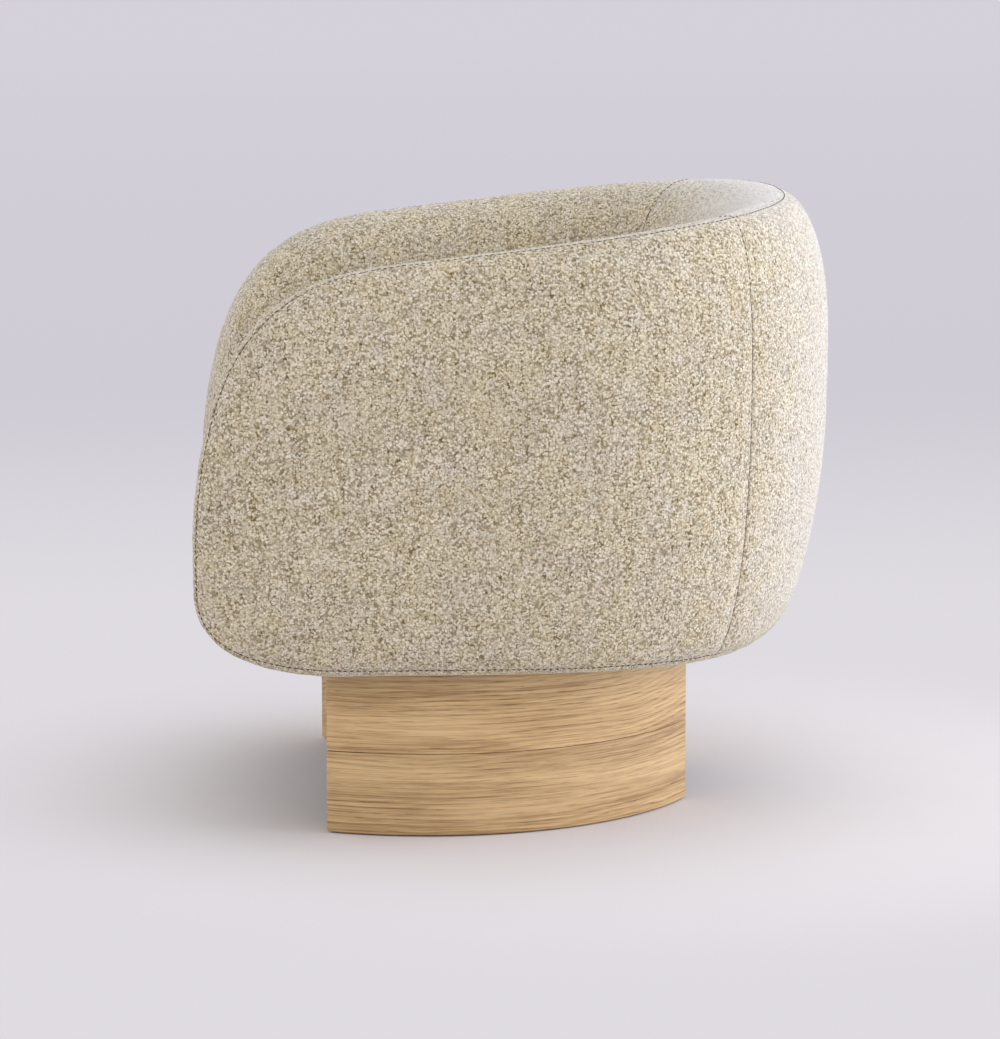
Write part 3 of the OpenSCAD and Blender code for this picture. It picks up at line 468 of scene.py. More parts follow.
class Nodes:
    """Adds and links nodes of one tree."""

    def __init__(self, tree):
        self.tree = tree

    def set(self, socket, value):
        if isinstance(value, bpy.types.NodeSocket):
            self.tree.links.new(value, socket)
        elif value is not None:
            socket.default_value = value

    def add(self, kind, inputs=(), **settings):
        node = self.tree.nodes.new(kind)
        for key, value in settings.items():
            setattr(node, key, value)
        for key, value in dict(inputs).items():
            self.set(node.inputs[key], value)
        return node

    def math(self, op, a, b=None, clamp=False):
        return self.add("ShaderNodeMath", {0: a, 1: b}, operation=op, use_clamp=clamp).outputs[0]

    def times(self, a, b):
        return self.math("MULTIPLY", a, b)

    def plus(self, a, b):
        return self.math("ADD", a, b)

    def swing(self, value, width):
        """A value round 0.5 made one round 0, and width times as wide."""
        return self.times(self.math("SUBTRACT", value, 0.5), width)

    def vector(self, op, a, b=None):
        node = self.add("ShaderNodeVectorMath", {0: a, 1: b}, operation=op)
        return node.outputs["Value" if op == "LENGTH" else 0]

    def scaled(self, vector, rate):
        return self.add("ShaderNodeVectorMath", {"Scale": rate, 0: vector}, operation="SCALE").outputs[0]

    def parts(self, vector):
        return self.add("ShaderNodeSeparateXYZ", {"Vector": vector}).outputs

    def range(self, value, low, high, to_low=0.0, to_high=1.0, smooth=False):
        return self.add("ShaderNodeMapRange",
                        {"Value": value, "From Min": low, "From Max": high, "To Min": to_low, "To Max": to_high},
                        interpolation_type="SMOOTHSTEP" if smooth else "LINEAR").outputs[0]

    def blend(self, factor, a, b, mode="MIX"):
        return self.add("ShaderNodeMix", {0: factor, 6: a, 7: b}, data_type="RGBA", blend_type=mode,
                        clamp_factor=True).outputs[2]

    def noise(self, at, scale, detail=2.0, rough=0.5):
        return self.add("ShaderNodeTexNoise", {"Vector": at, "Scale": scale, "Detail": detail,
                                               "Roughness": rough}).outputs[0]

    def drawn_out(self, at, rates, detail, rough=0.5, scale=1.0):
        """Noise with its own rate along each axis."""
        return self.noise(self.vector("MULTIPLY", at, rates), scale, detail, rough)

    def group(self, tree, **inputs):
        return self.add("ShaderNodeGroup", inputs, node_tree=tree).outputs

    def object_place(self):
        return self.add("ShaderNodeTexCoord").outputs["Object"]

    def facing(self):
        """Which way the surface faces, along the object's own axes."""
        return self.parts(self.add("ShaderNodeTexCoord").outputs["Normal"])

    def show(self, output, factor, a, b):
        """Sends a mix of two shader nodes to the output."""
        both = self.add("ShaderNodeMixShader", {0: factor, 1: a.outputs[0], 2: b.outputs[0]})
        self.set(self.tree.nodes[output].inputs["Surface"], both.outputs[0])


def rgba(rgb, tone=1.0):
    """A colour made lighter or darker by its tone, never brighter than white."""
    return (*(min(1, v * tone) for v in rgb), 1.0)


def surface(name, roughness, specular, **constants):
    """A material with a Principled BSDF whose even settings stand on its own sockets."""
    material = bpy.data.materials.new(name)
    material.use_nodes = True
    bsdf = material.node_tree.nodes["Principled BSDF"]
    constants.update(Roughness=roughness, Specular_IOR_Level=specular)
    for key, value in constants.items():
        bsdf.inputs[key.replace("_", " ")].default_value = value
    return material, Nodes(material.node_tree), bsdf


def paint(nodes, bsdf, tone, height, strength, distance):
    """Gives a surface its colour and its bumps."""
    bumps = nodes.add("ShaderNodeBump", {"Height": height, "Strength": strength, "Distance": distance})
    nodes.set(bsdf.inputs["Base Color"], tone)
    nodes.set(bsdf.inputs["Normal"], bumps.outputs[0])


def boucle_group():
    """Loops of uneven yarn with brown flecks and dark gaps, the gaps painted shade between the loops: a colour and a
    height from a place and a loop size.
    """
    n, ins, outs = new_group(
        "Boucle loops",
        [("Place", "Vector", (0, 0, 0)), ("Loop", "Float", 0.0027), ("Cream", "Color", (0.6, 0.5, 0.4, 1)),
         ("Pale", "Color", (0.8, 0.8, 0.7, 1)), ("Fleck", "Color", (0.1, 0.1, 0.05, 1))],
        [("Color", "Color"), ("Height", "Float")])
    at = ins["Place"]
    scaled = n.scaled(at, n.math("DIVIDE", 1.0, ins["Loop"]))
    wobble = n.add("ShaderNodeTexNoise", {"Vector": scaled, "Scale": 0.8, "Detail": 2.0}).outputs["Color"]
    bent = n.vector("ADD", scaled, n.scaled(n.vector("SUBTRACT", wobble, (0.5, 0.5, 0.5)), 1.5))
    cell = n.add("ShaderNodeTexVoronoi", {"Vector": bent, "Scale": 1.0, "Randomness": 0.9}).outputs
    pick = n.add("ShaderNodeSeparateColor", {"Color": cell["Color"]}).outputs
    fine = n.noise(scaled, 2.4, 3.0, 0.6)
    middle = n.noise(at, 120.0)
    broad = n.noise(at, 24.0, 3.0, 0.55)
    ribs = n.drawn_out(at, (150.0, 150.0, 14.0), 1.0)
    hill = n.math("SUBTRACT", 1.0, n.times(cell["Distance"], 1.1), clamp=True)
    yarn = n.blend(n.range(n.plus(pick[0], n.math("SUBTRACT", fine, 0.5)), 0.15, 1.0), ins["Cream"], ins["Pale"])
    # Painted shade: the gaps between the loops are darkened towards the fleck colour; brown, below, is the yarn's own
    # flecks.
    gap = n.range(n.plus(cell["Distance"], n.swing(fine, 0.7)), 0.44, 0.80, smooth=True)
    gap = n.times(gap, n.range(n.plus(middle, n.times(pick[1], 0.25)), 0.40, 0.78, 0.50, 1.0))
    gap = n.times(gap, n.range(ribs, 0.36, 0.64, 0.72, 1.16))
    brown = n.range(n.plus(pick[1], n.math("SUBTRACT", middle, 0.5)), 0.24, 0.04, 0.0, 0.7)
    tone = n.blend(n.math("MAXIMUM", gap, brown), yarn, ins["Fleck"])
    warm = n.blend(n.range(broad, 0.36, 0.64), (0.975, 0.98, 1.0, 1), (1.02, 1.0, 0.93, 1))
    n.set(outs["Color"], n.blend(1.0, tone, warm, "MULTIPLY"))
    n.set(outs["Height"], n.plus(n.times(hill, n.range(pick[2], 0, 1, 0.55, 1)), n.times(fine, 0.45)))
    return n.tree


HEART_DEPTH, RING_STEP = 0.30, 0.0060
PORE_BROWN = (0.17, 0.085, 0.03, 1)


def grain_group():
    """Long straight grain with rings and pores: a colour and a height from a place along the grain."""
    n, ins, outs = new_group(
        "Wood grain",
        [("Place", "Vector", (0, 0, 0)), ("Light", "Color", (0.6, 0.4, 0.2, 1)),
         ("Dark", "Color", (0.4, 0.2, 0.1, 1)), ("Rings", "Float", 1.0), ("Pores", "Float", 1.0)],
        [("Color", "Color"), ("Height", "Float")])
    at = ins["Place"]
    part = n.parts(at)
    sway = n.drawn_out(at, (2.3, 3.0, 3.0), 1.0)
    lean = n.drawn_out(at, (2.9, 1.0, 1.0), 1.0, scale=1.7)
    ripple = n.drawn_out(at, (8.0, 60.0, 30.0), 2.0)
    bands = n.drawn_out(at, (2.4, 30.0, 20.0), 2.0, 0.6)
    streaks = n.drawn_out(at, (5.0, 400.0, 190.0), 3.0, 0.7)
    hairs = n.drawn_out(at, (11.0, 560.0, 400.0), 2.0, 0.75)
    pores = n.drawn_out(at, (42.0, 760.0, 600.0), 1.0, 0.4)
    calm = n.range(n.drawn_out(at, (3.0, 11.0, 9.0), 1.0, scale=1.3), 0.36, 0.62, 0.30, 1.0)
    up = n.plus(n.plus(part[1], n.swing(sway, 0.100)), n.swing(ripple, 0.006))
    deep = n.plus(n.plus(part[2], -HEART_DEPTH), n.swing(lean, 0.03))
    heart = n.add("ShaderNodeCombineXYZ", {"X": up, "Y": deep})
    rings = n.math("FRACT", n.math("DIVIDE", n.vector("LENGTH", heart.outputs[0]), RING_STEP))
    ring = n.times(n.math("POWER", rings, 2.2), n.range(rings, 1.0, 0.88))
    ring = n.times(n.times(ring, ins["Rings"]), n.range(streaks, 0.30, 0.62, 0.55, 1.0))
    ring = n.times(ring, calm)
    tone = n.times(ring, 0.70)
    for layer, weight in ((n.range(bands, 0.36, 0.64), 0.42),
                          (n.times(n.range(streaks, 0.40, 0.62), calm), 0.34),
                          (n.range(hairs, 0.46, 0.58), 0.34)):
        tone = n.plus(tone, n.times(layer, weight))
    wood = n.blend(n.math("SUBTRACT", tone, 0.20), ins["Light"], ins["Dark"])
    pore = n.times(n.range(pores, 0.56, 0.63, smooth=True), ins["Pores"])
    pore = n.times(pore, n.range(ring, 0.15, 0.70, 0.25, 1.0))
    n.set(outs["Color"], n.blend(n.times(pore, 0.72), wood, PORE_BROWN))
    n.set(outs["Height"], n.math("SUBTRACT", n.times(hairs, 0.4), pore))
    return n.tree


def bent_place_group():
    """Place along, up and into a board bent about an upright axis."""
    n, ins, outs = new_group(
        "Bent board place",
        [("Centre", "Vector", (0, 0, 0)), ("Mirror", "Float", 1.0), ("Radius", "Float", 0.34),
         ("Offset", "Vector", (0, 0, 0))],
        [("Place", "Vector")])
    part = n.parts(n.vector("SUBTRACT", n.object_place(), ins["Centre"]))
    x = n.times(part[0], ins["Mirror"])
    flat = n.add("ShaderNodeCombineXYZ", {"X": x, "Y": part[1]})
    place = n.add("ShaderNodeCombineXYZ", {
        "X": n.times(n.math("ARCTAN2", part[1], x), ins["Radius"]), "Y": part[2],
        "Z": n.vector("LENGTH", flat.outputs[0])})
    n.set(outs["Place"], n.vector("ADD", place.outputs[0], ins["Offset"]))
    return n.tree


# The stitches' thread, painted dark so that it also stands for the shade in the seam grooves.
THREAD_AND_SEAM_SHADE = (0.085, 0.070, 0.046)
VENEER, VENEER_DARK, CUT_PLIES = (0.66, 0.50, 0.32), (0.52, 0.36, 0.20), (0.36, 0.24, 0.13)


class Finishes:
    """Every material of the chair, built once."""

    def __init__(self, cover, oak):
        self.cover, self.oak = cover, oak
        self.loops, self.grain, self.bent = boucle_group(), grain_group(), bent_place_group()
        self.boucle = self.cloth("Boucle cover", 1.0, 0.55)
        self.lining = self.cloth("Border cloth", 0.8, 0.4)
        self.thread_and_seam_shade = self.fibre("Seam thread and painted shade", THREAD_AND_SEAM_SHADE, 900.0)
        self.fleece = self.fibre("Dust cloth", (0.035, 0.035, 0.037), 500.0)
        self.webbing = self.woven("Elastic webbing", (0.30, 0.31, 0.32), (0.13, 0.14, 0.15))
        self.beech = self.timber("Raw beech", (0.62, 0.44, 0.28), (0.50, 0.33, 0.19), 0.45)
        self.ply = self.plies("Plywood")
        self.steel = self.worn("Zinc plated steel", 0.5, (180.0, 3.0, 0.6), (0.0, 1.0), (0.50, 0.51, 0.53),
                               (0.72, 0.72, 0.71), (0.28, 0.48), (1400.0, 0.12), Metallic=1.0)
        self.plastic = self.worn("Glide plastic", 0.4, (260.0, 4.0, 0.65), (0.45, 0.75), (0.03, 0.03, 0.031),
                                 (0.085, 0.083, 0.08), (0.42, 0.62), (2600.0, 0.2))

    def cloth(self, name, size, bumpy):
        """Boucle with a painted sheen: a pale colour is mixed in where the cover is seen edge-on, stronger towards
        the back and the top where the light falls, and faint near the foot.
        """
        c = self.cover
        material, n, bsdf = surface(name, 0.95, 0.10, Sheen_Weight=0.36, Sheen_Roughness=0.42)
        at = n.object_place()
        loops = n.group(self.loops, Place=at, Loop=c.loop * size, Cream=rgba(c.cream), Pale=rgba(c.pale),
                        Fleck=rgba(c.fleck_and_gap_shade))
        part = n.parts(at)
        edge = n.add("ShaderNodeLayerWeight", {"Blend": 0.5}).outputs["Facing"]
        # Painted sheen: the cover is mixed towards the pale colour where it is seen edge-on. The mix stays on the
        # loops' tops, is stronger towards the back and the top, and is weaker near the foot and on faces turned to
        # the back.
        painted_sheen = n.range(edge, 0.30, 0.90, 0.0, 0.80)
        for sheen_mask in (n.range(loops["Height"], 0.30, 0.66, 0.30, 1.0),
                         n.range(part[1], 0.13, 0.33, 0.14, 1.0, smooth=True),
                         n.range(part[2], 0.222, 0.27, 0.1, 1.0),
                         n.range(n.facing()[1], 0.45, -0.15, 0.48, 1.0)):
            painted_sheen = n.times(painted_sheen, sheen_mask)
        paint(n, bsdf, n.blend(painted_sheen, loops["Color"], rgba(c.painted_sheen)), loops["Height"], bumpy, 0.0016)
        return material

    def fibre(self, name, rgb, rate):
        material, n, bsdf = surface(name, 0.9, 0.1)
        hairs = n.noise(n.object_place(), rate, 3.0, 0.6)
        paint(n, bsdf, n.blend(n.range(hairs, 0.3, 0.7), rgba(rgb, 0.65), rgba(rgb, 1.35)), hairs, 0.5, 0.0006)
        return material

    def woven(self, name, light, dark):
        """Cross-woven tape: the two wave patterns run across each other."""
        material, n, bsdf = surface(name, 0.8, 0.2)
        at = n.object_place()
        across, along = (n.math("SINE", n.times(part, 2400.0)) for part in n.parts(at)[:2])
        weave = n.range(n.times(across, along), -1, 1)
        stripe = n.range(n.drawn_out(at, (120.0, 120.0, 1.0), 0.0), 0.4, 0.6)
        tone = n.blend(n.times(weave, n.range(stripe, 0, 1, 0.6, 1)), rgba(dark), rgba(light))
        paint(n, bsdf, tone, weave, 0.6, 0.0008)
        return material

    def timber(self, name, light, dark, roughness):
        material, n, bsdf = surface(name, roughness, 0.35)
        grain = n.group(self.grain, Place=n.object_place(), Light=rgba(light), Dark=rgba(dark), Rings=0.5,
                        Pores=0.35)
        paint(n, bsdf, grain["Color"], grain["Height"], 0.25, 0.0004)
        return material

    def plies(self, name):
        """Face veneer with long grain; the layers show as thin bands on the cut edges."""
        material, n, bsdf = surface(name, 0.55, 0.3)
        at = n.object_place()
        grain = n.group(self.grain, Place=at, Light=rgba(VENEER), Dark=rgba(VENEER_DARK), Rings=0.6, Pores=0.3)
        layers = n.range(n.math("SINE", n.times(n.parts(at)[2], 3100.0)), -0.2, 0.2)
        cut = n.range(n.math("ABSOLUTE", n.facing()[2]), 0.3, 0.1)
        tone = n.blend(n.times(n.times(layers, cut), 0.45), grain["Color"], rgba(CUT_PLIES))
        paint(n, bsdf, tone, grain["Height"], 0.25, 0.0004)
        return material

    def worn(self, name, specular, stain, reach, dark, light, gloss, scratch, **constants):
        """Smooth stock with faint stains that change its tone and its gloss, and fine scratches."""
        material, n, bsdf = surface(name, gloss[0], specular, **constants)
        at = n.object_place()
        stains = n.noise(at, *stain)
        rate, depth = scratch
        n.set(bsdf.inputs["Roughness"], n.range(stains, 0.3, 0.7, *gloss))
        tone = n.blend(n.range(stains, *reach), rgba(dark), rgba(light))
        paint(n, bsdf, tone, n.noise(at, rate, 1.0), depth, 0.0002)
        return material

    def board(self, name, side, offset, tone):
        """Oak that follows a bent board."""
        o = self.oak
        material, n, bsdf = surface(name, 0.46, 0.34, Coat_Weight=0.06, Coat_Roughness=0.35)
        place = n.group(self.bent, Centre=(-side * o.shift, BOARD_Y, 0), Mirror=float(side), Radius=o.board_r,
                        Offset=offset)
        # A tone below 1 darkens the wood as painted shade, for the lower boards.
        grain = n.group(self.grain, Place=place["Place"], Light=rgba(o.light, tone), Dark=rgba(o.dark, tone),
                        Rings=1.0, Pores=1.0)
        n.set(bsdf.inputs["Roughness"], n.range(grain["Height"], -0.6, 0.3, 0.58, 0.42))
        paint(n, bsdf, grain["Color"], grain["Height"], 0.35, 0.0004)
        return material


_shared = {}


def settings():
    return bpy.context.scene.lounge_chair


def finishes():
    if "finishes" not in _shared:
        _shared["finishes"] = Finishes(settings().cover, settings().oak)
    return _shared["finishes"]


# The tub's covers

STEP = 0.0036
SHELL_T, BORDER_T = 0.005, 0.0014
ROWS, INNER_ROWS, BACK_COLUMNS = 150, 125, 150
INNER_SHARES = (INNER_ROWS, 0.45, 0.6)
LEG_STEP = 0.0005
INSET_ROWS = 7
CREST_SEAM_FROM, CREST_SEAM_BLEND, HEM_SEAM_BLEND = 0.06, 0.2, 0.1
SEAT_MIDDLE = np.array((0, -0.05, 0.45))
FULL_FROM, FULL_LOW, FULL_MIDDLE, FULL_HIGH = -0.20, 0.36, 0.30, 0.52
NOSE_WALL_Z = 0.272
TUCK_UP, TUCK_LENGTH, TUCK_IN = 0.004, 0.02, 0.0012
PANEL_EDGE_GAP = 0.0003

# How the covers swell between their seams and dive into them

PUFF_REACH, GROOVE_REACH = 0.010, 0.0015
CREST_FROM, CREST_BLEND, CREST_FLAT = 0.63, 0.04, 0.86
PUCKER_DEPTH, PUCKER_REACH, PUCKER_FROM = 0.0007, 0.014, 0.004
PUCKER_RATE, PUCKER_DRIFT = 190, 37
SOFT_REACH = 0.02
LUMP_SIZE, FOAM_SIZE, YARN_SIZE = 0.11, 0.05, 0.0085
YARN_LIFT, YARN_RELIEF = 0.0008, 0.00036
SEAM_STEP = 0.001
STITCH_RISE, REAR_STITCH_RISE = 0.0009, 0.0004
STITCH_CREST_Z = 0.652


class TubSkin:
    """One welded skin of the whole tub, cut into covers along its seams."""

    def __init__(self, sizes, cover):
        self.tub = tub = Tub(sizes)
        self.seam_in = sizes.seam_in
        self.u = self.columns()
        self.inset = np.linspace(0, self.seam_in, INSET_ROWS)
        self.points, self.faces, self.parts, self.seams = [], [], {}, {}
        self.count = 0
        self.build_side()
        self.build_back()
        self.weld_and_shape(cover)

    def columns(self):
        """Places along the left half's rim, from the foremost point to the rear seam, evenly along the curve."""
        tub = self.tub
        span = tub.corner - tub.front
        t = np.concatenate([-span * (1 - np.geomspace(1e-9, 1, 4000)),
                            np.linspace(0, tub.s.seam_angle, 800)[1:]])
        plan, _, _ = tub.place(t)
        run = run_along(np.concatenate([plan, tub.rim_z(plan[:, 1])[:, None]], 1))
        u = np.interp(run[-1] * spread(int(run[-1] / STEP), 1.0), run, t)
        leg = LEG_BACK - tub.corner
        return np.sort(np.concatenate([u[np.abs(u - leg) > STEP / 2], [leg, leg + LEG_STEP]]))

    def place_of(self, u, v):
        """Round the rear the columns of the side follow the bowed seam."""
        s = self.tub.s
        return np.where(u < 0, u, u / s.seam_angle * self.tub.seam_u(v))

    def add(self, name, grid, facing=1):
        """Adds a grid to a cover; its faces point away from the seat's middle, or towards it for -1."""
        n, m = grid.shape[:2]
        points = self.filled_out(grid.reshape(-1, 3))
        faces = grid_faces(n, m)
        a, b = points[faces[:, 2]] - points[faces[:, 0]], points[faces[:, 3]] - points[faces[:, 1]]
        away = (np.cross(a, b) * (points[faces[:, 0]] - SEAT_MIDDLE)).sum()
        self.points.append(points)
        self.faces.append((faces[:, ::-1] if away * facing < 0 else faces) + self.count)
        self.parts.setdefault(name, []).append(len(self.faces) - 1)
        self.count += n * m

    def add_both(self, name, grid, facing=1):
        self.add(name + "_left", grid, facing)
        self.add(name + "_right", grid * (-1, 1, 1), facing)

    def filled_out(self, points):
        """The arms' lower front corners are stuffed a little fuller than the frame's even curve."""
        ahead = ((FULL_FROM - points[:, 1]) / (FULL_FROM - self.tub.front)).clip(0, 1)
        height = ((points[:, 2] - FULL_LOW) / (FULL_HIGH - FULL_LOW)).clip(0, 1)
        weight = ease(ahead) * (1 - ease(height))
        down = ((FULL_MIDDLE - points[:, 2]) / (FULL_MIDDLE - self.tub.s.hem_side_z)).clip(0, 1)
        out = points.copy()
        out[:, 1] -= self.tub.s.fullness * weight
        out[:, 2] -= 0.5 * self.tub.s.fullness * ahead * (1 - ahead) * 4 * down
        return out

    def seam(self, name, line):
        """Seams lie flat in the skin: the groove follows them and the stitches are sewn along them."""
        self.seams[name] = self.filled_out(line)
        if not name.startswith("back"):
            self.seams[name + "_r"] = self.seams[name] * (-1, 1, 1)

    def eased(self, u, inset, behind, start, length):
        """An inset that passes from the seam's own at the nose to another behind it."""
        ahead = np.where(u < 0, (self.tub.corner + u - self.tub.front - start) / length, 1).clip(0, 1)
        return inset * (1 + (behind / self.seam_in - 1) * ease(ahead))

    def rim_inset(self, u, inset):
        """Along the crest the upper seam runs closer to the edge than round the arm's front."""
        return self.eased(u, inset, self.tub.s.crest_in, CREST_SEAM_FROM, CREST_SEAM_BLEND)

    def hem_inset(self, u, inset):
        """The bottom seam climbs from the nose to its own height above the edge."""
        return self.eased(u, inset, self.tub.s.hem_in, 0, HEM_SEAM_BLEND)

    def strip(self, u, at_rim):
        """From the edge to the seam that runs inside it."""
        cols = []
        for inset in self.inset:
            rise = self.rim_inset(u, inset) if at_rim else self.hem_inset(u, inset)
            v = self.tub.edge_v(self.tub.squeeze(u, inset), rise, at_rim)
            for _ in range(2):
                place = np.where(u < 0, self.tub.squeeze(u, inset), self.place_of(u, v))
                v = self.tub.edge_v(place, rise, at_rim)
            cols.append(self.tub.outer(place, v))
        return np.stack(cols, 1)

    def build_side(self):
        tub, u = self.tub, self.u
        drawn = tub.squeeze(u, self.seam_in)
        rise, drop = self.hem_inset(u, self.seam_in), self.rim_inset(u, self.seam_in)
        low, high = tub.edge_v(drawn, rise, False), tub.edge_v(drawn, drop, True)
        for _ in range(2):
            low = tub.edge_v(self.place_of(drawn, low), rise, False)
            high = tub.edge_v(self.place_of(drawn, high), drop, True)
        curve = lambda v: tub.outer(self.place_of(np.broadcast_to(drawn[:, None], v.shape), v), v)
        side = curve(evenly(curve, low, high, spread(ROWS)))
        top, bottom = self.strip(u, True), self.strip(u, False)
        side[:, -1], side[:, 0] = top[:, -1], bottom[:, -1]
        self.add_both("side", side)
        self.add_both("inner_arm", top)
        self.add_both("inner_arm", np.stack([top[0], bottom[0]]))
        leg = int(np.searchsorted(u, LEG_BACK - tub.corner + 1e-9))
        self.add_both("inner_arm", bottom[:leg])
        self.add_both("border", bottom[leg:])
        self.add_both("border", self.under_grid(self.place_of(u[leg:], -1.0)))
        lows = np.where(u <= LEG_BACK - tub.corner + 1e-9, 0.0, FOAM_LOW)
        inner = self.inner_grid(u, lows, spread(*INNER_SHARES))
        self.add_both("inner_arm", inner, -1)
        first_row = self.under_grid(self.place_of(u[leg:leg + 1], -1.0))[0]
        self.add_both("border", self.nose_wall(inner[leg - 1], first_row))
        self.seam("rim", top[:, -1])
        self.seam("hem", bottom[:, -1])
        self.seam("rear", side[-1])
        self.seam("inner_rear", inner[-1])

    def under_grid(self, u):
        """From the bottom edge in to the seat panel's edge, under the tub."""
        plan, _, _ = self.tub.place(u)
        edge = self.tub.outer(u, np.full(len(u), -1.0))
        inner = np.array([self.border_in(*p, at < 0) for p, at in zip(plan, u)])
        return mix(edge[:, None], inner[:, None], spread(26, 0.5, 0.8)[None, :, None])

    def nose_wall(self, column, row):
        """Closes the step between the arm's rounded nose and the flat border behind it."""
        foot = column[column[:, 2] < NOSE_WALL_Z]
        over = np.stack([row[:, 0], np.full(len(row), column[0, 1]),
                         np.interp(row[:, 0], foot[:, 0], foot[:, 2])], 1)
        return mix(row[:, None], over[:, None], np.linspace(0, 1, 9)[None, :, None])

    def border_in(self, x, y, arm):
        """The inner edge of the under border across from a place on the rim."""
        if not arm:
            _, out, _ = self.tub.place(np.array([self.rear_place(x)]))
            px, py = out[0]
            r = PANEL_HALF_W + BORDER_GAP
            rel = y - PANEL_ROUND_Y
            along = x * px + rel * py
            t = along - math.sqrt(max(along * along - (x * x + rel * rel - r * r), 0))
            cx, cy = x - px * t, y - py * t
            if cy < PANEL_ROUND_Y:
                cy = y - py * (x - r) / px
                cx = r
            return cx, cy, PANEL_Z
        back = BASE_FRONT + PANEL_CORNER_R
        reach = PANEL_CORNER_R + BORDER_GAP
        corner = PANEL_HALF_W - PANEL_CORNER_R + math.sqrt(max(reach ** 2 - (y - back) ** 2, 0))
        if y >= BASE_FRONT:
            edge = PANEL_HALF_W + BORDER_GAP if y > back else max(BAND_HALF_W + PANEL_EDGE_GAP, corner)
            return edge, y, PANEL_Z
        tuck = TUCK_UP * min(1, (BASE_FRONT - y) / TUCK_LENGTH)
        return max(BAND_HALF_W - TUCK_IN, corner), y, self.tub.band_low(y) + tuck

    def rear_place(self, x):
        """The place on the rear's rim across from x."""
        e = 2 / self.tub.s.corner_n
        return math.acos(math.copysign(min(1, abs(x) / self.tub.s.rim_half_w) ** (1 / e), x))

    def inner_grid(self, u, lows, rows):
        tub = self.tub
        ends = np.where(lows < FOAM_LOW, 3.0, 2.0)
        curve = lambda t: tub.inner(np.broadcast_to(u[:, None], t.shape), t,
                                    np.broadcast_to(lows[:, None], t.shape))
        return curve(evenly(curve, np.zeros(len(u)), ends, rows))

    def build_back(self):
        tub, s = self.tub, self.tub.s
        shares = spread(BACK_COLUMNS)
        level = np.zeros(BACK_COLUMNS + 1)
        low, high = level - 1, level + 1
        for _ in range(3):
            low, high = (tub.edge_v(tub.across_back(low, shares), s.hem_in, False),
                         tub.edge_v(tub.across_back(high, shares), s.crest_in, True))
        curve = lambda v: tub.outer(tub.across_back(v, shares[:, None]), v)
        outer = curve(evenly(curve, low, high, spread(ROWS)))
        strips = {}
        for at_rim in (True, False):
            cols = []
            for inset in self.inset:
                v = level + (1 if at_rim else -1)
                rise = inset * (s.crest_in if at_rim else s.hem_in) / self.seam_in
                for _ in range(3):
                    place = tub.across_back(v, shares)
                    v = tub.edge_v(place, rise, at_rim)
                cols.append(tub.outer(place, v))
            strips[at_rim] = np.stack(cols, 1)
        outer[:, -1], outer[:, 0] = strips[True][:, -1], strips[False][:, -1]
        self.add("back", outer)
        self.add("inner_back", strips[True])
        under = self.under_grid(tub.across_back(-1.0, shares))
        half = BACK_COLUMNS // 2
        for name, part in (("border_left", slice(None, half + 1)), ("border_right", slice(half, None))):
            self.add(name, strips[False][part])
            self.add(name, under[part])
        u = mix(s.seam_angle, np.pi - s.seam_angle, shares)
        self.add("inner_back", self.inner_grid(u, np.full(len(u), FOAM_LOW), spread(*INNER_SHARES)), -1)
        self.seam("back_rim", strips[True][:, -1])
        self.seam("back_hem", strips[False][:, -1])

    def weld_and_shape(self, cover):
        sizes = [len(f) for f in self.faces]
        points, faces = welded(np.concatenate(self.points), np.concatenate(self.faces))
        starts = np.concatenate([[0], np.cumsum(sizes)])
        self.ranges = {k: [np.arange(starts[i], starts[i + 1]) for i in v] for k, v in self.parts.items()}
        normals = vertex_normals(points, faces)
        self.flat = points
        self.points = relief(points, normals, self.seams.values(), cover, cover.groove)
        self.faces, self.normals = faces, normals

    def sewn_lines(self, rear):
        """The seams of the side panels, or those of the rear, as they lie in their grooves."""
        tree = kd_tree(self.flat)
        lines = []
        for name, line in self.seams.items():
            if name.startswith("rim"):
                line = line[(line[:, 2] > STITCH_CREST_Z) == rear]
            elif name.startswith("hem") == rear:
                continue
            at = [tree.find(p)[1] for p in line]
            lines.append(self.points[at] + self.normals[at] * (REAR_STITCH_RISE if rear else STITCH_RISE))
        return lines

    def cut(self, name, parts, material, thick=SHELL_T):
        """The named parts of the skin as one closed cover."""
        pick = np.concatenate([r for part in parts for r in self.ranges[part]])
        return shell(name, self.points, self.faces[pick], self.normals, thick, material)


def seam_tree(lines):
    """A search tree over finely cut seams, and how far along its seam each mark lies."""
    marks, runs = [], []
    for line in lines:
        run = run_along(line)
        at = np.linspace(0, run[-1], max(2, int(run[-1] / SEAM_STEP)))
        marks.append(points_at(line, run, at))
        runs.append(at)
    return kd_tree(np.concatenate(marks)), np.concatenate(runs)


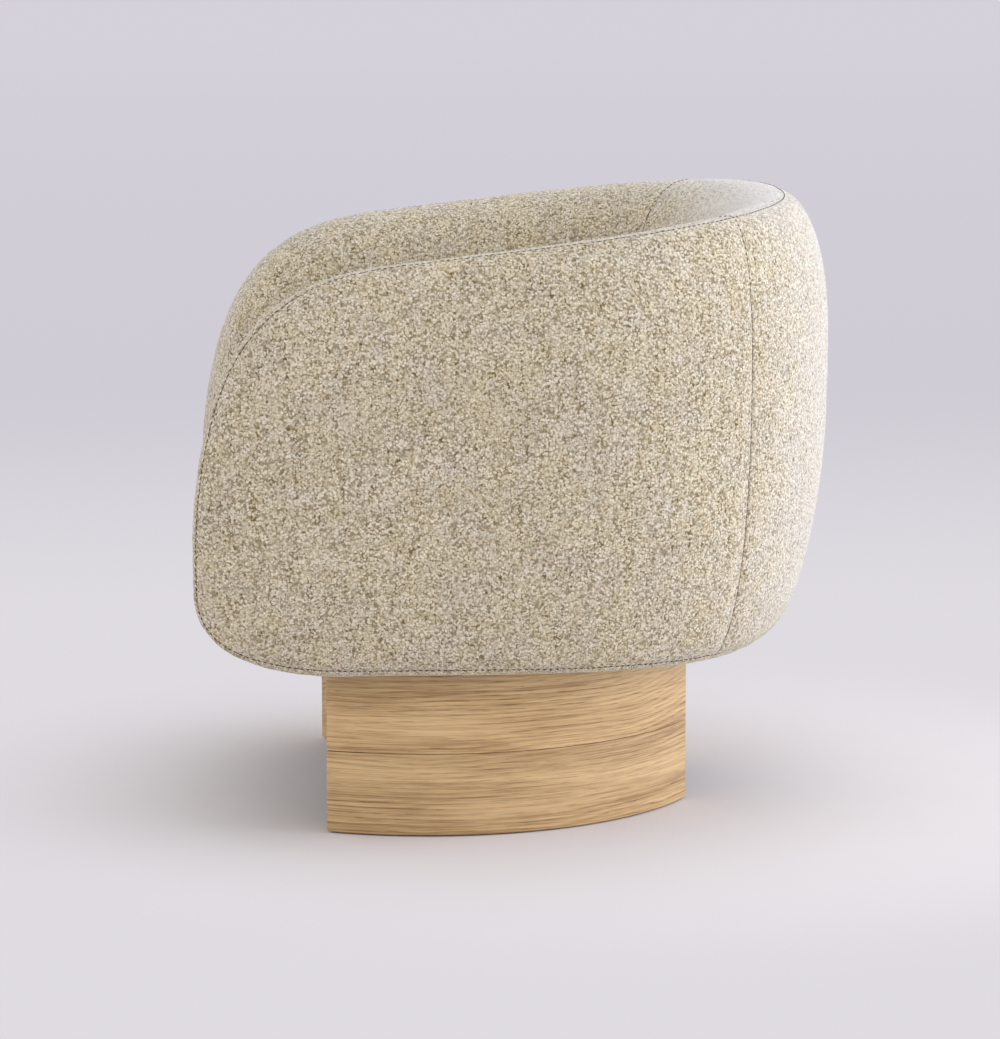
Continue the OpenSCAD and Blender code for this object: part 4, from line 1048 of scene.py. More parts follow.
def relief(points, normals, seams, cover, groove):
    """Points moved along their normals: proud between seams, deep in them, with soft unevenness."""
    tree, marks = seam_tree(seams)
    found = [tree.find(p) for p in points]
    reach = np.array([f[2] for f in found])
    near = marks[[f[1] for f in found]]
    pucker = 0.5 + 0.5 * np.sin(near * PUCKER_RATE + 2.5 * np.sin(near * PUCKER_DRIFT))
    crest = ((points[:, 2] - CREST_FROM) / CREST_BLEND).clip(0, 1)
    shift = cover.puff * (1 - np.exp(-(reach / PUFF_REACH) ** 2))
    shift -= groove * (1 - CREST_FLAT * crest) * np.exp(-(reach / GROOVE_REACH) ** 1.4)
    shift -= PUCKER_DEPTH * pucker * np.exp(-(reach / PUCKER_REACH) ** 2) * (reach / PUCKER_FROM).clip(0, 1)
    lumps = smooth_noise(points, LUMP_SIZE, 3) + 0.5 * smooth_noise(points, FOAM_SIZE, 4)
    shift += cover.lump * (reach / SOFT_REACH).clip(0, 1) * lumps
    shift += YARN_LIFT + YARN_RELIEF * smooth_noise(points, YARN_SIZE, 5)
    return points + normals * shift[:, None]


def skin():
    if "skin" not in _shared:
        _shared["skin"] = TubSkin(settings().tub, settings().cover)
    return _shared["skin"]


def dress(piece, body, replaced=()):
    """Rides a piece on its body and hides the frame parts it stands in for."""
    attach(piece, body)
    if replaced:
        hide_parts(*replaced)
    return piece


class LOUNGE_OT_side_panels(bpy.types.Operator):
    """Build the two outer side panels, sewn in just inside the arms' edge"""
    bl_idname = "lounge.side_panels"
    bl_label = "Side panels"

    def execute(self, context):
        for side in ("left", "right"):
            piece = skin().cut("side_panel_" + side, ["side_" + side], finishes().boucle)
            dress(piece, "chair", ("outer_side_cover_" + side, "outer_foam_" + side))
        return {"FINISHED"}


class LOUNGE_OT_back_panel(bpy.types.Operator):
    """Build the outer back panel between the two upright seams"""
    bl_idname = "lounge.back_panel"
    bl_label = "Back panel"

    def execute(self, context):
        piece = skin().cut("back_panel", ["back"], finishes().boucle)
        dress(piece, "chair", ("outer_back_cover", "outer_foam_back"))
        return {"FINISHED"}


class LOUNGE_OT_inner_covers(bpy.types.Operator):
    """Build the rolled arm covers and the inner back"""
    bl_idname = "lounge.inner_covers"
    bl_label = "Inner covers"

    def execute(self, context):
        for side in ("left", "right"):
            piece = skin().cut("inner_arm_" + side, ["inner_arm_" + side], finishes().boucle)
            dress(piece, "chair",
                  ("inner_arm_cover_" + side, "arm_foam_" + side, "edge_roll_" + side))
        piece = skin().cut("inner_back", ["inner_back"], finishes().boucle)
        dress(piece, "chair", ("inner_back_cover", "back_foam", "edge_roll_back"))
        return {"FINISHED"}


class LoungeChair(bpy.types.PropertyGroup):
    """All sizes and looks of the chair."""
    tub: bpy.props.PointerProperty(type=TubSizes, name="Tub", description="Sizes of the tub")
    cover: bpy.props.PointerProperty(type=CoverFinish, name="Cover", description="The boucle cover")
    oak: bpy.props.PointerProperty(type=OakFinish, name="Oak", description="The oak boards")
    studio: bpy.props.PointerProperty(type=StudioLook, name="Studio", description="Floor, background and lamps")


# Front band, deck and cushion

BAND_END_DIVE, BAND_PUFF_REACH, BAND_DIVE_REACH, BAND_TOP_BLEND = 0.0014, 0.012, 0.005, 0.004
BAND_LUMP, BAND_YARN = 0.0004, 0.00026
BAND_ROUND_FADE = 0.06
BAND_CORE = (-0.315, 0.262)
BAND_CAP = np.array((0.12, 0.35, 0.6, 0.8, 0.96))
# The deck's rings: share of its outline, height
DECK_RINGS = ((0.5, 0.2857), (0.98, 0.2857), (0.997, 0.287), (1, 0.291), (0.9985, 0.2955), (0.993, 0.2982),
              (0.975, 0.2993), (0.9, 0.2997), (0.7, 0.2998), (0.4, 0.2998), (0.2, 0.2998))
DECK_SIDE_GAP, DECK_REAR_GAP = 0.0005, 0.0006
CUSHION_LOW, CUSHION_EDGE, CUSHION_CROWN = 0.3003, 0.104, 0.022
CUSHION_FRONT, CUSHION_CORNER_R, CUSHION_BOW, CUSHION_GAP = -0.371, 0.046, 0.008, 0.0015
CUSHION_MID_Y = -0.0715
# The cushion's rings: share of its outline with the height above its underside, and the shares of its top
CUSHION_FOOT = ((0.5, 0), (0.8, 0), (0.94, 0.0004), (0.982, 0.0022))
CUSHION_TOP = (0.976, 0.94, 0.86, 0.76, 0.66, 0.5, 0.34, 0.17)
CUSHION_WALL_ROWS, CUSHION_BELLY = 8, 0.014
LIMP_HEIGHT, LIMP_WIDTH = 0.93, 0.982
CUSHION_GROOVE = 0.0030
# Where the cushion's two seams run, above its underside
CUSHION_SEAMS, CUSHION_SEAM_IN = (CUSHION_EDGE - 0.003, 0.009), 0.99
VOXEL = 0.006
CLOTH_FRAMES = 20
MAX_SWELL = 0.014


def front_band(tub):
    """The padded band under the cushion's front edge, over the front rail and back under the seat."""
    top = tub.s.deck_z
    arc = np.linspace(0, np.pi / 2, 14)
    over = np.stack([BAND_FRONT + BAND_TOP_R - BAND_TOP_R * np.sin(arc), top - BAND_TOP_R * (1 - np.cos(arc))], 1)
    under_y = mix(BAND_FRONT, BASE_FRONT - 0.0005, np.linspace(0, 1, 24) ** 1.5)
    under = np.stack([under_y, tub.band_low(under_y)], 1)
    line = np.concatenate([[[RAIL_BACK, top]], over, under])
    run = run_along(line)
    profile = points_at(line, run, run[-1] * spread(64, 0.6, 0.6))
    x = mix(-BAND_HALF_W, BAND_HALF_W, spread(170, 0.25, 0.25, 8))
    past = (np.abs(x) - (BAND_HALF_W - BAND_CORNER_R)).clip(0) / BAND_CORNER_R
    back = BAND_CORNER_R * (1 - np.sqrt((1 - past ** 2).clip(0)))
    fade = (1 - (profile[:, 0] - BAND_FRONT) / BAND_ROUND_FADE).clip(0, 1)
    y = profile[None, :, 0] + back[:, None] * fade[None]
    grid = np.stack([np.broadcast_to(x[:, None], y.shape), y, np.broadcast_to(profile[:, 1], y.shape)], -1)
    first, last = (mix(end[None], np.array((end[0, 0], *BAND_CORE)), BAND_CAP[:, None, None])
                   for end in grid[[0, -1]])
    return np.concatenate([first[::-1], grid, last])


def base_outline(inset):
    """The seat panel's outline, from the middle of its front round by +X, drawn in by inset."""
    r, half = PANEL_CORNER_R - inset, PANEL_HALF_W - inset
    centre = Vector((PANEL_HALF_W - PANEL_CORNER_R, BASE_FRONT + PANEL_CORNER_R))
    side = [(0, BASE_FRONT + inset)]
    side += [(centre.x + r * math.cos(a), centre.y + r * math.sin(a)) for a in np.linspace(-np.pi / 2, 0, 16)]
    side += [(half * math.cos(a), PANEL_ROUND_Y + half * math.sin(a)) for a in np.linspace(0, np.pi / 2, 60)]
    side = np.array(side)
    whole = np.concatenate([side, side[-2:0:-1] * (-1, 1), side[:1]])
    run = run_along(whole)
    return points_at(whole, run, np.linspace(0, run[-1], 220))


def cushion_outline(tub, z, scale=1.0):
    """Closed outline of the seat cushion at height z, counterclockwise from the front corner at +X."""
    half = tub.s.rim_half_w - tub.s.arm_t - CUSHION_GAP
    r = CUSHION_CORNER_R
    arc = np.linspace(-np.pi / 2, 0, 15)
    corner = np.stack([half - r + r * np.cos(arc), CUSHION_FRONT + CUSHION_BOW + r + r * np.sin(arc)], 1)
    side_y = np.linspace(corner[-1, 1], tub.corner, 40)[1:-1]
    right = np.stack([np.full(len(side_y), half), side_y], 1)
    rear = tub.seat_wall(np.linspace(0, np.pi, 101), z, CUSHION_GAP)
    x = np.linspace(-(half - r), half - r, 61)[1:-1]
    edge = np.stack([x, CUSHION_FRONT + CUSHION_BOW * (x / (half - r)) ** 2], 1)
    loop = np.concatenate([corner, right, rear, right[::-1] * (-1, 1), corner[::-1] * (-1, 1), edge])
    return (loop - (0, CUSHION_MID_Y)) * scale + (0, CUSHION_MID_Y)


def cushion_rings(tub, tall=1.0, scale=1.0):
    """Rings of the cushion from the middle of its underside up to the middle of its top."""
    low, high = CUSHION_LOW, CUSHION_LOW + CUSHION_EDGE * tall
    rings = [(s, low + rise) for s, rise in CUSHION_FOOT]
    for t in np.arange(CUSHION_WALL_ROWS + 1) / CUSHION_WALL_ROWS:
        rings.append((1 - CUSHION_BELLY * (1 - math.sin(math.pi * t)), mix(low + 0.006, high - 0.002, t)))
    rings += [(s, high + CUSHION_CROWN * tall * (1 - s ** 2.6)) for s in CUSHION_TOP]
    return [at_height(cushion_outline(tub, z, s * scale), z) for s, z in rings]


def lofted(rings, name, material):
    """A closed mesh over rings of equal count, with a fan at both ends."""
    bm = bmesh.new()
    rows = join_rings(bm, rings)
    count = len(rows[0])
    for row, way in ((rows[0], -1), (rows[-1], 1)):
        middle = bm.verts.new(np.mean([v.co for v in row], axis=0))
        for k in range(count):
            pair = [row[k], row[(k + 1) % count]]
            bm.faces.new((pair if way > 0 else pair[::-1]) + [middle])
    return finish_mesh(bm, name, material)


def mesh_values(mesh, kind):
    """The places ("co") or the normals ("normal") of a mesh's points."""
    values = np.empty(len(mesh.vertices) * 3)
    mesh.vertices.foreach_get(kind, values)
    return values.reshape(-1, 3)


def mesh_tree(mesh):
    return BVHTree.FromPolygons([v.co for v in mesh.vertices], [list(p.vertices) for p in mesh.polygons])


def put_points(mesh, points):
    mesh.vertices.foreach_set("co", points.ravel())
    mesh.update()


def apply_all(piece):
    """The piece's mesh as its modifiers leave it, and no modifier left."""
    graph = bpy.context.evaluated_depsgraph_get()
    graph.update()
    mesh = bpy.data.meshes.new_from_object(piece.evaluated_get(graph), depsgraph=graph)
    piece.modifiers.clear()
    old = piece.data
    piece.data = mesh
    bpy.data.meshes.remove(old)
    mesh.name = piece.name


def remesh(piece):
    """Makes the piece's mesh even."""
    modifier = piece.modifiers.new("Even mesh", "REMESH")
    modifier.mode, modifier.voxel_size = "VOXEL", VOXEL
    apply_all(piece)


def swell(piece, mould):
    """Blows the cushion up as cloth, inside the space that its mould leaves it."""
    start = mesh_values(piece.data, "co")
    cloth = piece.modifiers.new("Swell", "CLOTH")
    cloth.settings.quality = 4
    cloth.settings.mass = 0.3
    cloth.settings.use_pressure = True
    cloth.settings.uniform_pressure_force = 4
    cloth.settings.effector_weights.gravity = 0
    cloth.settings.tension_stiffness = cloth.settings.compression_stiffness = 12
    cloth.collision_settings.use_collision = False
    cloth.collision_settings.use_self_collision = False
    cloth.point_cache.frame_start, cloth.point_cache.frame_end = 1, CLOTH_FRAMES
    for number in range(1, CLOTH_FRAMES + 1):
        bpy.context.scene.frame_set(number)
    apply_all(piece)
    bpy.context.scene.frame_set(1)
    moved = mesh_values(piece.data, "co") - start
    far = np.linalg.norm(moved, axis=1, keepdims=True)
    points = start + moved * np.minimum(1, MAX_SWELL / far.clip(1e-9))
    put_points(piece.data, inside_mould(points, mould))


def inside_mould(points, mould):
    """The points, with those outside the mould brought back to its surface."""
    kept = points.copy()
    for k, p in enumerate(points):
        at, normal, _, _ = mould.find_nearest(p)
        if (Vector(p) - at).dot(normal) > 0:
            kept[k] = at
    return kept


def seat_cushion(tub, cover, material):
    """A crowned, boxed cushion: swollen as cloth, then sewn along its two edges."""
    full = lofted(cushion_rings(tub), "mould", material)
    bm = bmesh.new()
    bm.from_mesh(full.data)
    mould = BVHTree.FromBMesh(bm)
    bm.free()
    bpy.data.meshes.remove(full.data)
    piece = lofted(cushion_rings(tub, LIMP_HEIGHT, LIMP_WIDTH), "seat_cushion", material)
    remesh(piece)
    swell(piece, mould)
    smooth = piece.modifiers.new("Smooth", "SUBSURF")
    smooth.levels = smooth.render_levels = 1
    apply_all(piece)
    mesh = piece.data
    surface_tree = mesh_tree(mesh)
    seams = []
    for rise in CUSHION_SEAMS:
        z = CUSHION_LOW + rise
        loop = cushion_outline(tub, z, CUSHION_SEAM_IN)
        line = [surface_tree.find_nearest(Vector((x, y, z)))[0] for x, y in loop]
        seams.append(np.array(line + line[:1]))
    points = relief(mesh_values(mesh, "co"), mesh_values(mesh, "normal"), seams, cover, CUSHION_GROOVE)
    points[:, 2] = points[:, 2].clip(CUSHION_LOW + 0.0002)
    put_points(mesh, points)
    shade_smooth(mesh)
    top = mesh_tree(mesh)
    return piece, [np.array([top.find_nearest(Vector(p))[0] for p in line]) for line in seams]


class LOUNGE_OT_under_borders(bpy.types.Operator):
    """Build the cloth borders under the tub, from the bottom seam in to the base"""
    bl_idname = "lounge.under_borders"
    bl_label = "Under borders"

    def execute(self, context):
        for side in ("left", "right"):
            piece = skin().cut("under_border_cloth_" + side, ["border_" + side], finishes().lining, BORDER_T)
            dress(piece, "chair", ("under_border_" + side,))
        return {"FINISHED"}


class LOUNGE_OT_front_band(bpy.types.Operator):
    """Build the padded band across the front, under the cushion"""
    bl_idname = "lounge.front_band"
    bl_label = "Front band"

    def execute(self, context):
        grid = front_band(skin().tub)
        faces = grid_faces(*grid.shape[:2])
        points = grid.reshape(-1, 3)
        normals = vertex_normals(points, faces)
        if (normals[:, 1] * (points[:, 1] < BAND_FRONT + 0.01)).sum() > 0:
            faces, normals = faces[:, ::-1], -normals
        edge = BAND_HALF_W - np.abs(points[:, 0])
        below = settings().tub.deck_z - points[:, 2]
        shift = settings().cover.puff * (1 - np.exp(-(edge / BAND_PUFF_REACH) ** 2))
        shift -= BAND_END_DIVE * np.exp(-(edge / BAND_DIVE_REACH) ** 1.5) * (below > BAND_TOP_BLEND)
        shift += BAND_LUMP * smooth_noise(points, FOAM_SIZE, 7) + BAND_YARN * smooth_noise(points, YARN_SIZE, 8)
        shift *= (below / BAND_TOP_BLEND).clip(0, 1)
        moved = points + normals * shift[:, None]
        piece = shell("front_band", moved, faces, normals, SHELL_T, finishes().boucle)
        dress(piece, "chair", ("front_band_cover", "front_band_foam"))
        return {"FINISHED"}


class LOUNGE_OT_seat_deck(bpy.types.Operator):
    """Build the cloth-covered foam deck that the cushion lies on"""
    bl_idname = "lounge.seat_deck"
    bl_label = "Seat deck"

    def execute(self, context):
        tub = skin().tub
        half, front = tub.s.rim_half_w - tub.s.arm_t - DECK_SIDE_GAP, RAIL_BACK + DECK_REAR_GAP
        rear = tub.seat_wall(np.linspace(0, np.pi, 81), tub.s.deck_z, DECK_REAR_GAP)
        side = np.stack([np.full(25, half), np.linspace(front, tub.corner, 26)[:-1]], 1)
        edge = np.stack([np.linspace(-half, half, 50)[1:-1], np.full(48, front)], 1)
        loop = np.concatenate([side, rear, side[::-1] * (-1, 1), edge])
        middle = np.array((0, loop[:, 1].mean()))
        rings = [at_height((loop - middle) * s + middle, z) for s, z in DECK_RINGS]
        piece = lofted(rings, "seat_deck", finishes().lining)
        dress(piece, "chair", ("deck_cover", "deck_foam"))
        return {"FINISHED"}


class LOUNGE_OT_cushion(bpy.types.Operator):
    """Build the loose seat cushion, swollen as cloth and sewn along its edges"""
    bl_idname = "lounge.cushion"
    bl_label = "Seat cushion"

    def execute(self, context):
        piece, lines = seat_cushion(skin().tub, settings().cover, finishes().boucle)
        _shared["cushion seams"] = lines
        dress(piece, "cushion", ("cushion_cover", "cushion_core"))
        return {"FINISHED"}


# Oak boards

JOINT_R, TOP_R = 0.0009, 0.0012
BOARD_TURNS = 92
# Each board's foot and top, with its pattern's place along and up the board
BOARD_LEVELS = (("lower", 0.0015, 0.0997, 0.0, 0.045), ("upper", 0.1003, 0.2019, 0.35, -0.035))
SIDE_PATTERN, DEPTH_PATTERN = 1.7, 0.013


def board_mesh(name, side, low, high, r_low, r_high, oak, material):
    """A bent board with rounded edges and ends, swept round its centre."""
    r_out, r_in, r_end = oak.board_r, oak.board_r - oak.board_t, oak.round_r
    a0, a1 = (math.radians(a) for a in BOARD_DEGS)
    ends = [(r_end * (1 - math.cos(t)), r_end * (1 - math.sin(t))) for t in np.linspace(0, np.pi / 2, 7)]
    middle_r = (r_in + r_out) / 2
    stations = [(a0 + s / middle_r, inset) for s, inset in ends]
    stations += [(a, 0.0) for a in np.linspace(a0, a1, BOARD_TURNS)[2:-2]]
    stations += [(a1 - s / middle_r, inset) for s, inset in reversed(ends)]
    rings = []
    for angle, inset in stations:
        loop = section_loop(r_in, r_out, low, high, r_low, r_high, inset)
        rings.append([(side * (-oak.shift + r * math.cos(angle)), BOARD_Y + r * math.sin(angle), z)
                      for r, z in loop])
    bm = bmesh.new()
    verts = join_rings(bm, rings)
    bm.faces.new(verts[0][::-1])
    bm.faces.new(verts[-1])
    bmesh.ops.triangulate(bm, faces=[f for f in bm.faces if len(f.verts) > 4])
    return finish_mesh(bm, name, material, clean=1e-7)


def section_loop(r_in, r_out, low, high, r_low, r_high, inset):
    """Counterclockwise rounded section in radius and height, drawn in by inset."""
    corners = ((r_out, low, r_low, -90), (r_out, high, r_high, 0), (r_in, high, r_high, 90), (r_in, low, r_low, 180))
    loop = []
    for x, z, r, first in corners:
        soft = max(r - inset, 0.0001)
        cx = x + (-1 if x == r_out else 1) * (inset + soft)
        cz = z + (1 if z == low else -1) * (inset + soft)
        for t in np.linspace(first, first + 90, 7):
            loop.append((cx + soft * math.cos(math.radians(t)), cz + soft * math.sin(math.radians(t))))
    return loop


class LOUNGE_OT_oak_boards(bpy.types.Operator):
    """Build the four bent oak boards of the base"""
    bl_idname = "lounge.oak_boards"
    bl_label = "Oak boards"

    def execute(self, context):
        oak = settings().oak
        for side, sign in (("left", 1), ("right", -1)):
            for level, low, high, along, up in BOARD_LEVELS:
                lower = level == "lower"
                r_low, r_high = (oak.round_r, JOINT_R) if lower else (JOINT_R, TOP_R)
                shift = (SIDE_PATTERN * sign + along, up, DEPTH_PATTERN * sign)
                # The lower boards get their painted shade through the board's tone.
                grain = finishes().board("Oak, %s %s board" % (side, level), sign, shift,
                                         oak.lower_painted_shade if lower else 1.0)
                piece = board_mesh("oak_board_%s_%s" % (side, level), sign, low, high, r_low, r_high, oak, grain)
                dress(piece, "chair", ("base_board_%s_%s" % (side, level),))
        return {"FINISHED"}


# Stitches and staples along paths

SIDE_THREAD, REAR_THREAD, CUSHION_THREAD = 0.0013, 0.0009, 0.0010
STAPLE_IN, STAPLE_Z = 0.012, 0.2016
STAPLE_PITCH, STAPLE_LENGTH, STAPLE_T = 0.045, 0.011, 0.0010


def stitch_tree():
    """Small rounded bars laid end to end along a path."""
    tree = bpy.data.node_groups.new("Bars along a path", "GeometryNodeTree")
    make = tree.interface.new_socket
    make("Path", in_out="INPUT", socket_type="NodeSocketGeometry")
    for label, default in (("Pitch", 0.007), ("Length", 0.004), ("Thickness", 0.0008), ("Unevenness", 0.12)):
        make(label, in_out="INPUT", socket_type="NodeSocketFloat").default_value = default
    make("Seed", in_out="INPUT", socket_type="NodeSocketInt").default_value = SEED
    make("Material", in_out="INPUT", socket_type="NodeSocketMaterial")
    make("Bars", in_out="OUTPUT", socket_type="NodeSocketGeometry")
    n = Nodes(tree)
    ins, outs = tree.nodes.new("NodeGroupInput"), tree.nodes.new("NodeGroupOutput")
    curve = n.add("GeometryNodeMeshToCurve", {"Mesh": ins.outputs["Path"]})
    cut = n.add("GeometryNodeResampleCurve", {"Curve": curve.outputs[0], "Length": ins.outputs["Pitch"]},
                mode="LENGTH")
    bar = n.add("GeometryNodeMeshUVSphere", {"Segments": 6, "Rings": 6, "Radius": 0.5})
    tangent = n.add("GeometryNodeInputTangent")
    turned = n.add("FunctionNodeAlignRotationToVector", {"Vector": tangent.outputs[0]}, axis="Z")
    wild = n.add("FunctionNodeRandomValue", {"Seed": ins.outputs["Seed"]}, data_type="FLOAT")
    wild.inputs[2].default_value, wild.inputs[3].default_value = -1.0, 1.0
    uneven = n.plus(1.0, n.times(wild.outputs[1], ins.outputs["Unevenness"]))
    size = n.add("ShaderNodeCombineXYZ", {"X": ins.outputs["Thickness"], "Y": ins.outputs["Thickness"],
                                          "Z": n.times(ins.outputs["Length"], uneven)})
    bars = n.add("GeometryNodeInstanceOnPoints", {"Points": cut.outputs[0], "Instance": bar.outputs[0],
                                                  "Rotation": turned.outputs[0], "Scale": size.outputs[0]})
    real = n.add("GeometryNodeRealizeInstances", {"Geometry": bars.outputs[0]})
    named = n.add("GeometryNodeSetMaterial", {"Geometry": real.outputs[0], "Material": ins.outputs["Material"]})
    n.set(outs.inputs[0], named.outputs[0])
    return tree


def bars_along(name, lines, material, pitch, length, thick, uneven=0.12):
    """One plain mesh of bars along all the lines."""
    points, edges, start = [], [], 0
    for line in lines:
        points.extend(map(tuple, line))
        edges.extend((start + k, start + k + 1) for k in range(len(line) - 1))
        start += len(line)
    mesh = bpy.data.meshes.new(name)
    mesh.from_pydata(points, edges, [])
    piece = new_object(name, mesh)
    if "bars" not in _shared:
        _shared["bars"] = stitch_tree()
    modifier = piece.modifiers.new("Bars", "NODES")
    modifier.node_group = tree = _shared["bars"]
    names = {item.name: item.identifier for item in tree.interface.items_tree if item.in_out == "INPUT"}
    for key, value in (("Pitch", pitch), ("Length", length), ("Thickness", thick), ("Unevenness", uneven),
                       ("Seed", SEED), ("Material", material)):
        modifier[names[key]] = value
    apply_all(piece)
    if not len(piece.data.polygons):
        raise RuntimeError(name + ": nothing was sewn")
    shade_smooth(piece.data)
    return piece


class LOUNGE_OT_stitches(bpy.types.Operator):
    """Sew the covers along their seams"""
    bl_idname = "lounge.stitches"
    bl_label = "Stitches"

    def execute(self, context):
        c = settings().cover
        pitch = c.stitch + c.stitch_gap
        for name, rear, thick in (("side_stitches", False, SIDE_THREAD), ("rear_stitches", True, REAR_THREAD)):
            piece = bars_along(name, skin().sewn_lines(rear), finishes().thread_and_seam_shade, pitch, c.stitch, thick)
            dress(piece, "chair")
        piece = bars_along("cushion_stitches", _shared["cushion seams"], finishes().thread_and_seam_shade, pitch, c.stitch,
                           CUSHION_THREAD)
        dress(piece, "cushion")
        return {"FINISHED"}


class LOUNGE_OT_staples(bpy.types.Operator):
    """Staple the dust cloth to the seat panel all round"""
    bl_idname = "lounge.staples"
    bl_label = "Staples"

    def execute(self, context):
        line = at_height(base_outline(STAPLE_IN), STAPLE_Z)
        piece = bars_along("dust_cloth_staples", [line], finishes().steel, STAPLE_PITCH, STAPLE_LENGTH, STAPLE_T,
                           0.02)
        dress(piece, "chair")
        return {"FINISHED"}


class LOUNGE_OT_frame_finishes(bpy.types.Operator):
    """Finish the frame's own wood, metal, webbing, dust cloth and glides"""
    bl_idname = "lounge.frame_finishes"
    bl_label = "Frame finishes"

    def execute(self, context):
        f = finishes()
        kinds = {
            f.beech: ("board_dowels", "side_rail_left", "side_rail_right", "front_rail", "back_rail",
                      "corner_blocks", "back_top_rail"),
            f.ply: ("base_panel", "arm_panel_left", "arm_panel_right", "back_shell"),
            f.steel: ("base_bolts", "base_washers", "base_inserts", "rail_screws", "wall_screws"),
            f.webbing: ("webbing_crosswise", "webbing_lengthwise"),
            f.fleece: ("dust_cover",),
            f.plastic: ("floor_glides",),
        }
        for material, names in kinds.items():
            for name in names:
                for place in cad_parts[name].material_slots:
                    place.material = material
        return {"FINISHED"}


# Stage

CAMERA_PLACE = (5.2007, -0.2881, 1.1693)
CAMERA_LOOK = (-0.98595, 0.05167, -0.15873)
CAMERA_LENS = 147.16
FLOOR_R = 30
# Round the chair the floor takes light and shadow; further out it glows evenly
LIT_MIDDLE, LIT_FROM, LIT_TO = (0.05, 0.10, 0.0), 0.38, 0.96
FILL_TINT = (0.985, 0.985, 1.0)
LAMP_AIM = (0, 0, 0.35)
# Name, share of the key lamp's power, size, place, tint
LAMPS = (("Key behind", 1.0, 3.0, (0.5, 3.4, 1.5), (0.94, 1.0, 1.14)),
         ("Side before", 0.16, 2.4, (0.8, -3.6, 1.6), (1, 1, 1)),
         ("Front", 0.07, 2.4, (3.8, 0.6, 0.9), (1, 1, 1)))


def seen_rays(nodes):
    """1 for rays that carry the background into the picture: camera, gloss and glass."""
    rays = nodes.add("ShaderNodeLightPath")
    return nodes.math("MAXIMUM", rays.outputs["Is Camera Ray"],
                      nodes.math("MAXIMUM", rays.outputs["Is Glossy Ray"], rays.outputs["Is Transmission Ray"]))


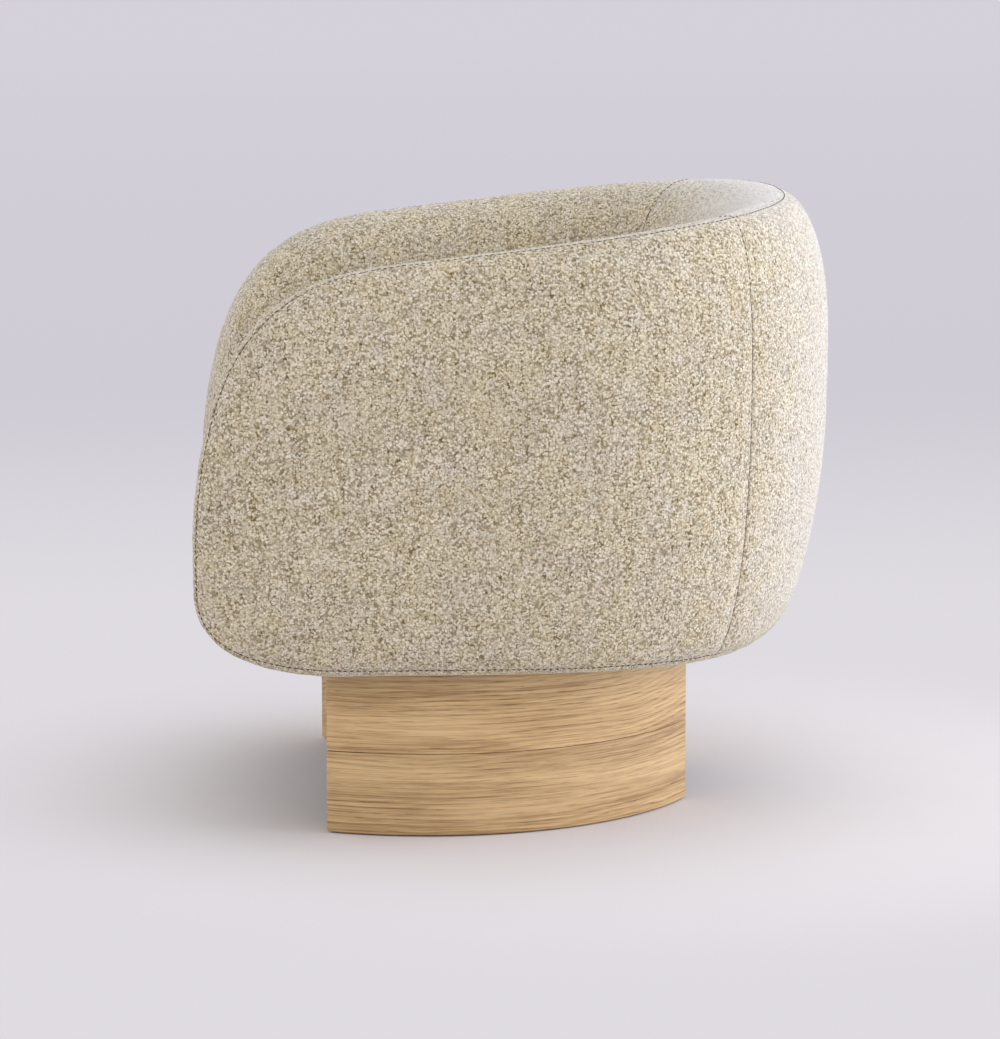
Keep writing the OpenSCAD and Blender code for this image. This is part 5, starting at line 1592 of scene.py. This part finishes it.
class LOUNGE_OT_stage(bpy.types.Operator):
    """Set the plain studio: floor, background, lamps and the camera at the photograph's angle"""
    bl_idname = "lounge.stage"
    bl_label = "Studio"

    def execute(self, context):
        look = settings().studio
        self.floor(look)
        self.world(look)
        for lamp in LAMPS:
            self.lamp(look.key, *lamp)
        self.camera()
        return {"FINISHED"}

    def floor(self, look):
        bm = bmesh.new()
        bmesh.ops.create_circle(bm, cap_ends=True, segments=96, radius=FLOOR_R)
        mesh = bpy.data.meshes.new("floor")
        bm.to_mesh(mesh)
        bm.free()
        floor = new_object("floor", mesh)
        material, n, bsdf = surface("Studio floor", 0.9, 0.0)
        at = n.object_place()
        n.set(bsdf.inputs["Base Color"], n.blend(n.range(n.noise(at, 14.0, 3.0), 0.3, 0.7),
                                                 rgba(look.floor, 0.995), rgba(look.floor, 1.005)))
        back = n.times(n.parts(at)[0], -1.0)
        tone = n.blend(n.range(back, 0.9, 3.9, smooth=True), rgba(look.horizon), rgba(look.far, 0.945))
        tone = n.blend(n.range(back, 4.5, 20.0), tone, rgba(look.far))
        glow = n.add("ShaderNodeEmission", {"Color": tone})
        reach = n.vector("LENGTH", n.vector("SUBTRACT", at, LIT_MIDDLE))
        away = n.times(n.range(reach, LIT_FROM, LIT_TO, smooth=True), seen_rays(n))
        n.show("Material Output", away, bsdf, glow)
        floor.data.materials.append(material)

    def world(self, look):
        world = bpy.data.worlds.new("Studio")
        world.use_nodes = True
        n = Nodes(world.node_tree)
        seen = n.add("ShaderNodeBackground", {"Color": rgba(look.far), "Strength": 1.0})
        fill = n.add("ShaderNodeBackground", {"Color": rgba(FILL_TINT), "Strength": look.fill})
        n.show("World Output", seen_rays(n), fill, seen)
        bpy.context.scene.world = world

    def lamp(self, key, name, part, size, place, tint):
        data = bpy.data.lights.new(name, "AREA")
        data.shape, data.size, data.energy, data.color = "DISK", size, key * part, tint
        lamp = new_object(name, data)
        lamp.location = place
        lamp.rotation_euler = (Vector(LAMP_AIM) - Vector(place)).to_track_quat("-Z", "Y").to_euler()

    def camera(self):
        data = bpy.data.cameras.new("Camera")
        data.sensor_fit, data.sensor_width, data.lens = "AUTO", 36, CAMERA_LENS
        data.clip_end = 200
        camera = new_object("Camera", data)
        camera.location = CAMERA_PLACE
        camera.rotation_euler = Vector(CAMERA_LOOK).to_track_quat("-Z", "Y").to_euler()
        scene = bpy.context.scene
        scene.camera = camera
        scene.view_settings.view_transform = "Standard"


# Panel and registration

PROPERTY_GROUPS = (TubSizes, CoverFinish, OakFinish, StudioLook, LoungeChair)

OPERATORS = (
    LOUNGE_OT_side_panels, LOUNGE_OT_back_panel, LOUNGE_OT_inner_covers, LOUNGE_OT_under_borders,
    LOUNGE_OT_front_band, LOUNGE_OT_seat_deck, LOUNGE_OT_cushion, LOUNGE_OT_oak_boards, LOUNGE_OT_stitches,
    LOUNGE_OT_staples, LOUNGE_OT_frame_finishes, LOUNGE_OT_stage)


class LOUNGE_PT_panel(bpy.types.Panel):
    """The chair's pieces and settings"""
    bl_idname = "LOUNGE_PT_panel"
    bl_label = "Lounge chair"
    bl_space_type = "VIEW_3D"
    bl_region_type = "UI"
    bl_category = "Lounge chair"

    def draw(self, context):
        chair = context.scene.lounge_chair
        for group in (chair.tub, chair.cover, chair.oak, chair.studio):
            box = self.layout.box()
            for name in group.bl_rna.properties.keys():
                if name not in ("rna_type", "name"):
                    box.prop(group, name)
        for operator in OPERATORS:
            self.layout.operator(operator.bl_idname)


def register():
    for cls in PROPERTY_GROUPS + OPERATORS + (LOUNGE_PT_panel,):
        bpy.utils.register_class(cls)
    bpy.types.Scene.lounge_chair = bpy.props.PointerProperty(
        type=LoungeChair, name="Lounge chair", description="Sizes and looks of the lounge chair")


def unregister():
    del bpy.types.Scene.lounge_chair
    for cls in reversed(PROPERTY_GROUPS + OPERATORS + (LOUNGE_PT_panel,)):
        bpy.utils.unregister_class(cls)


def main():
    register()
    for operator in OPERATORS:
        name = operator.bl_idname.split(".")[1]
        getattr(bpy.ops.lounge, name)()


if __name__ == "__main__":
    main()
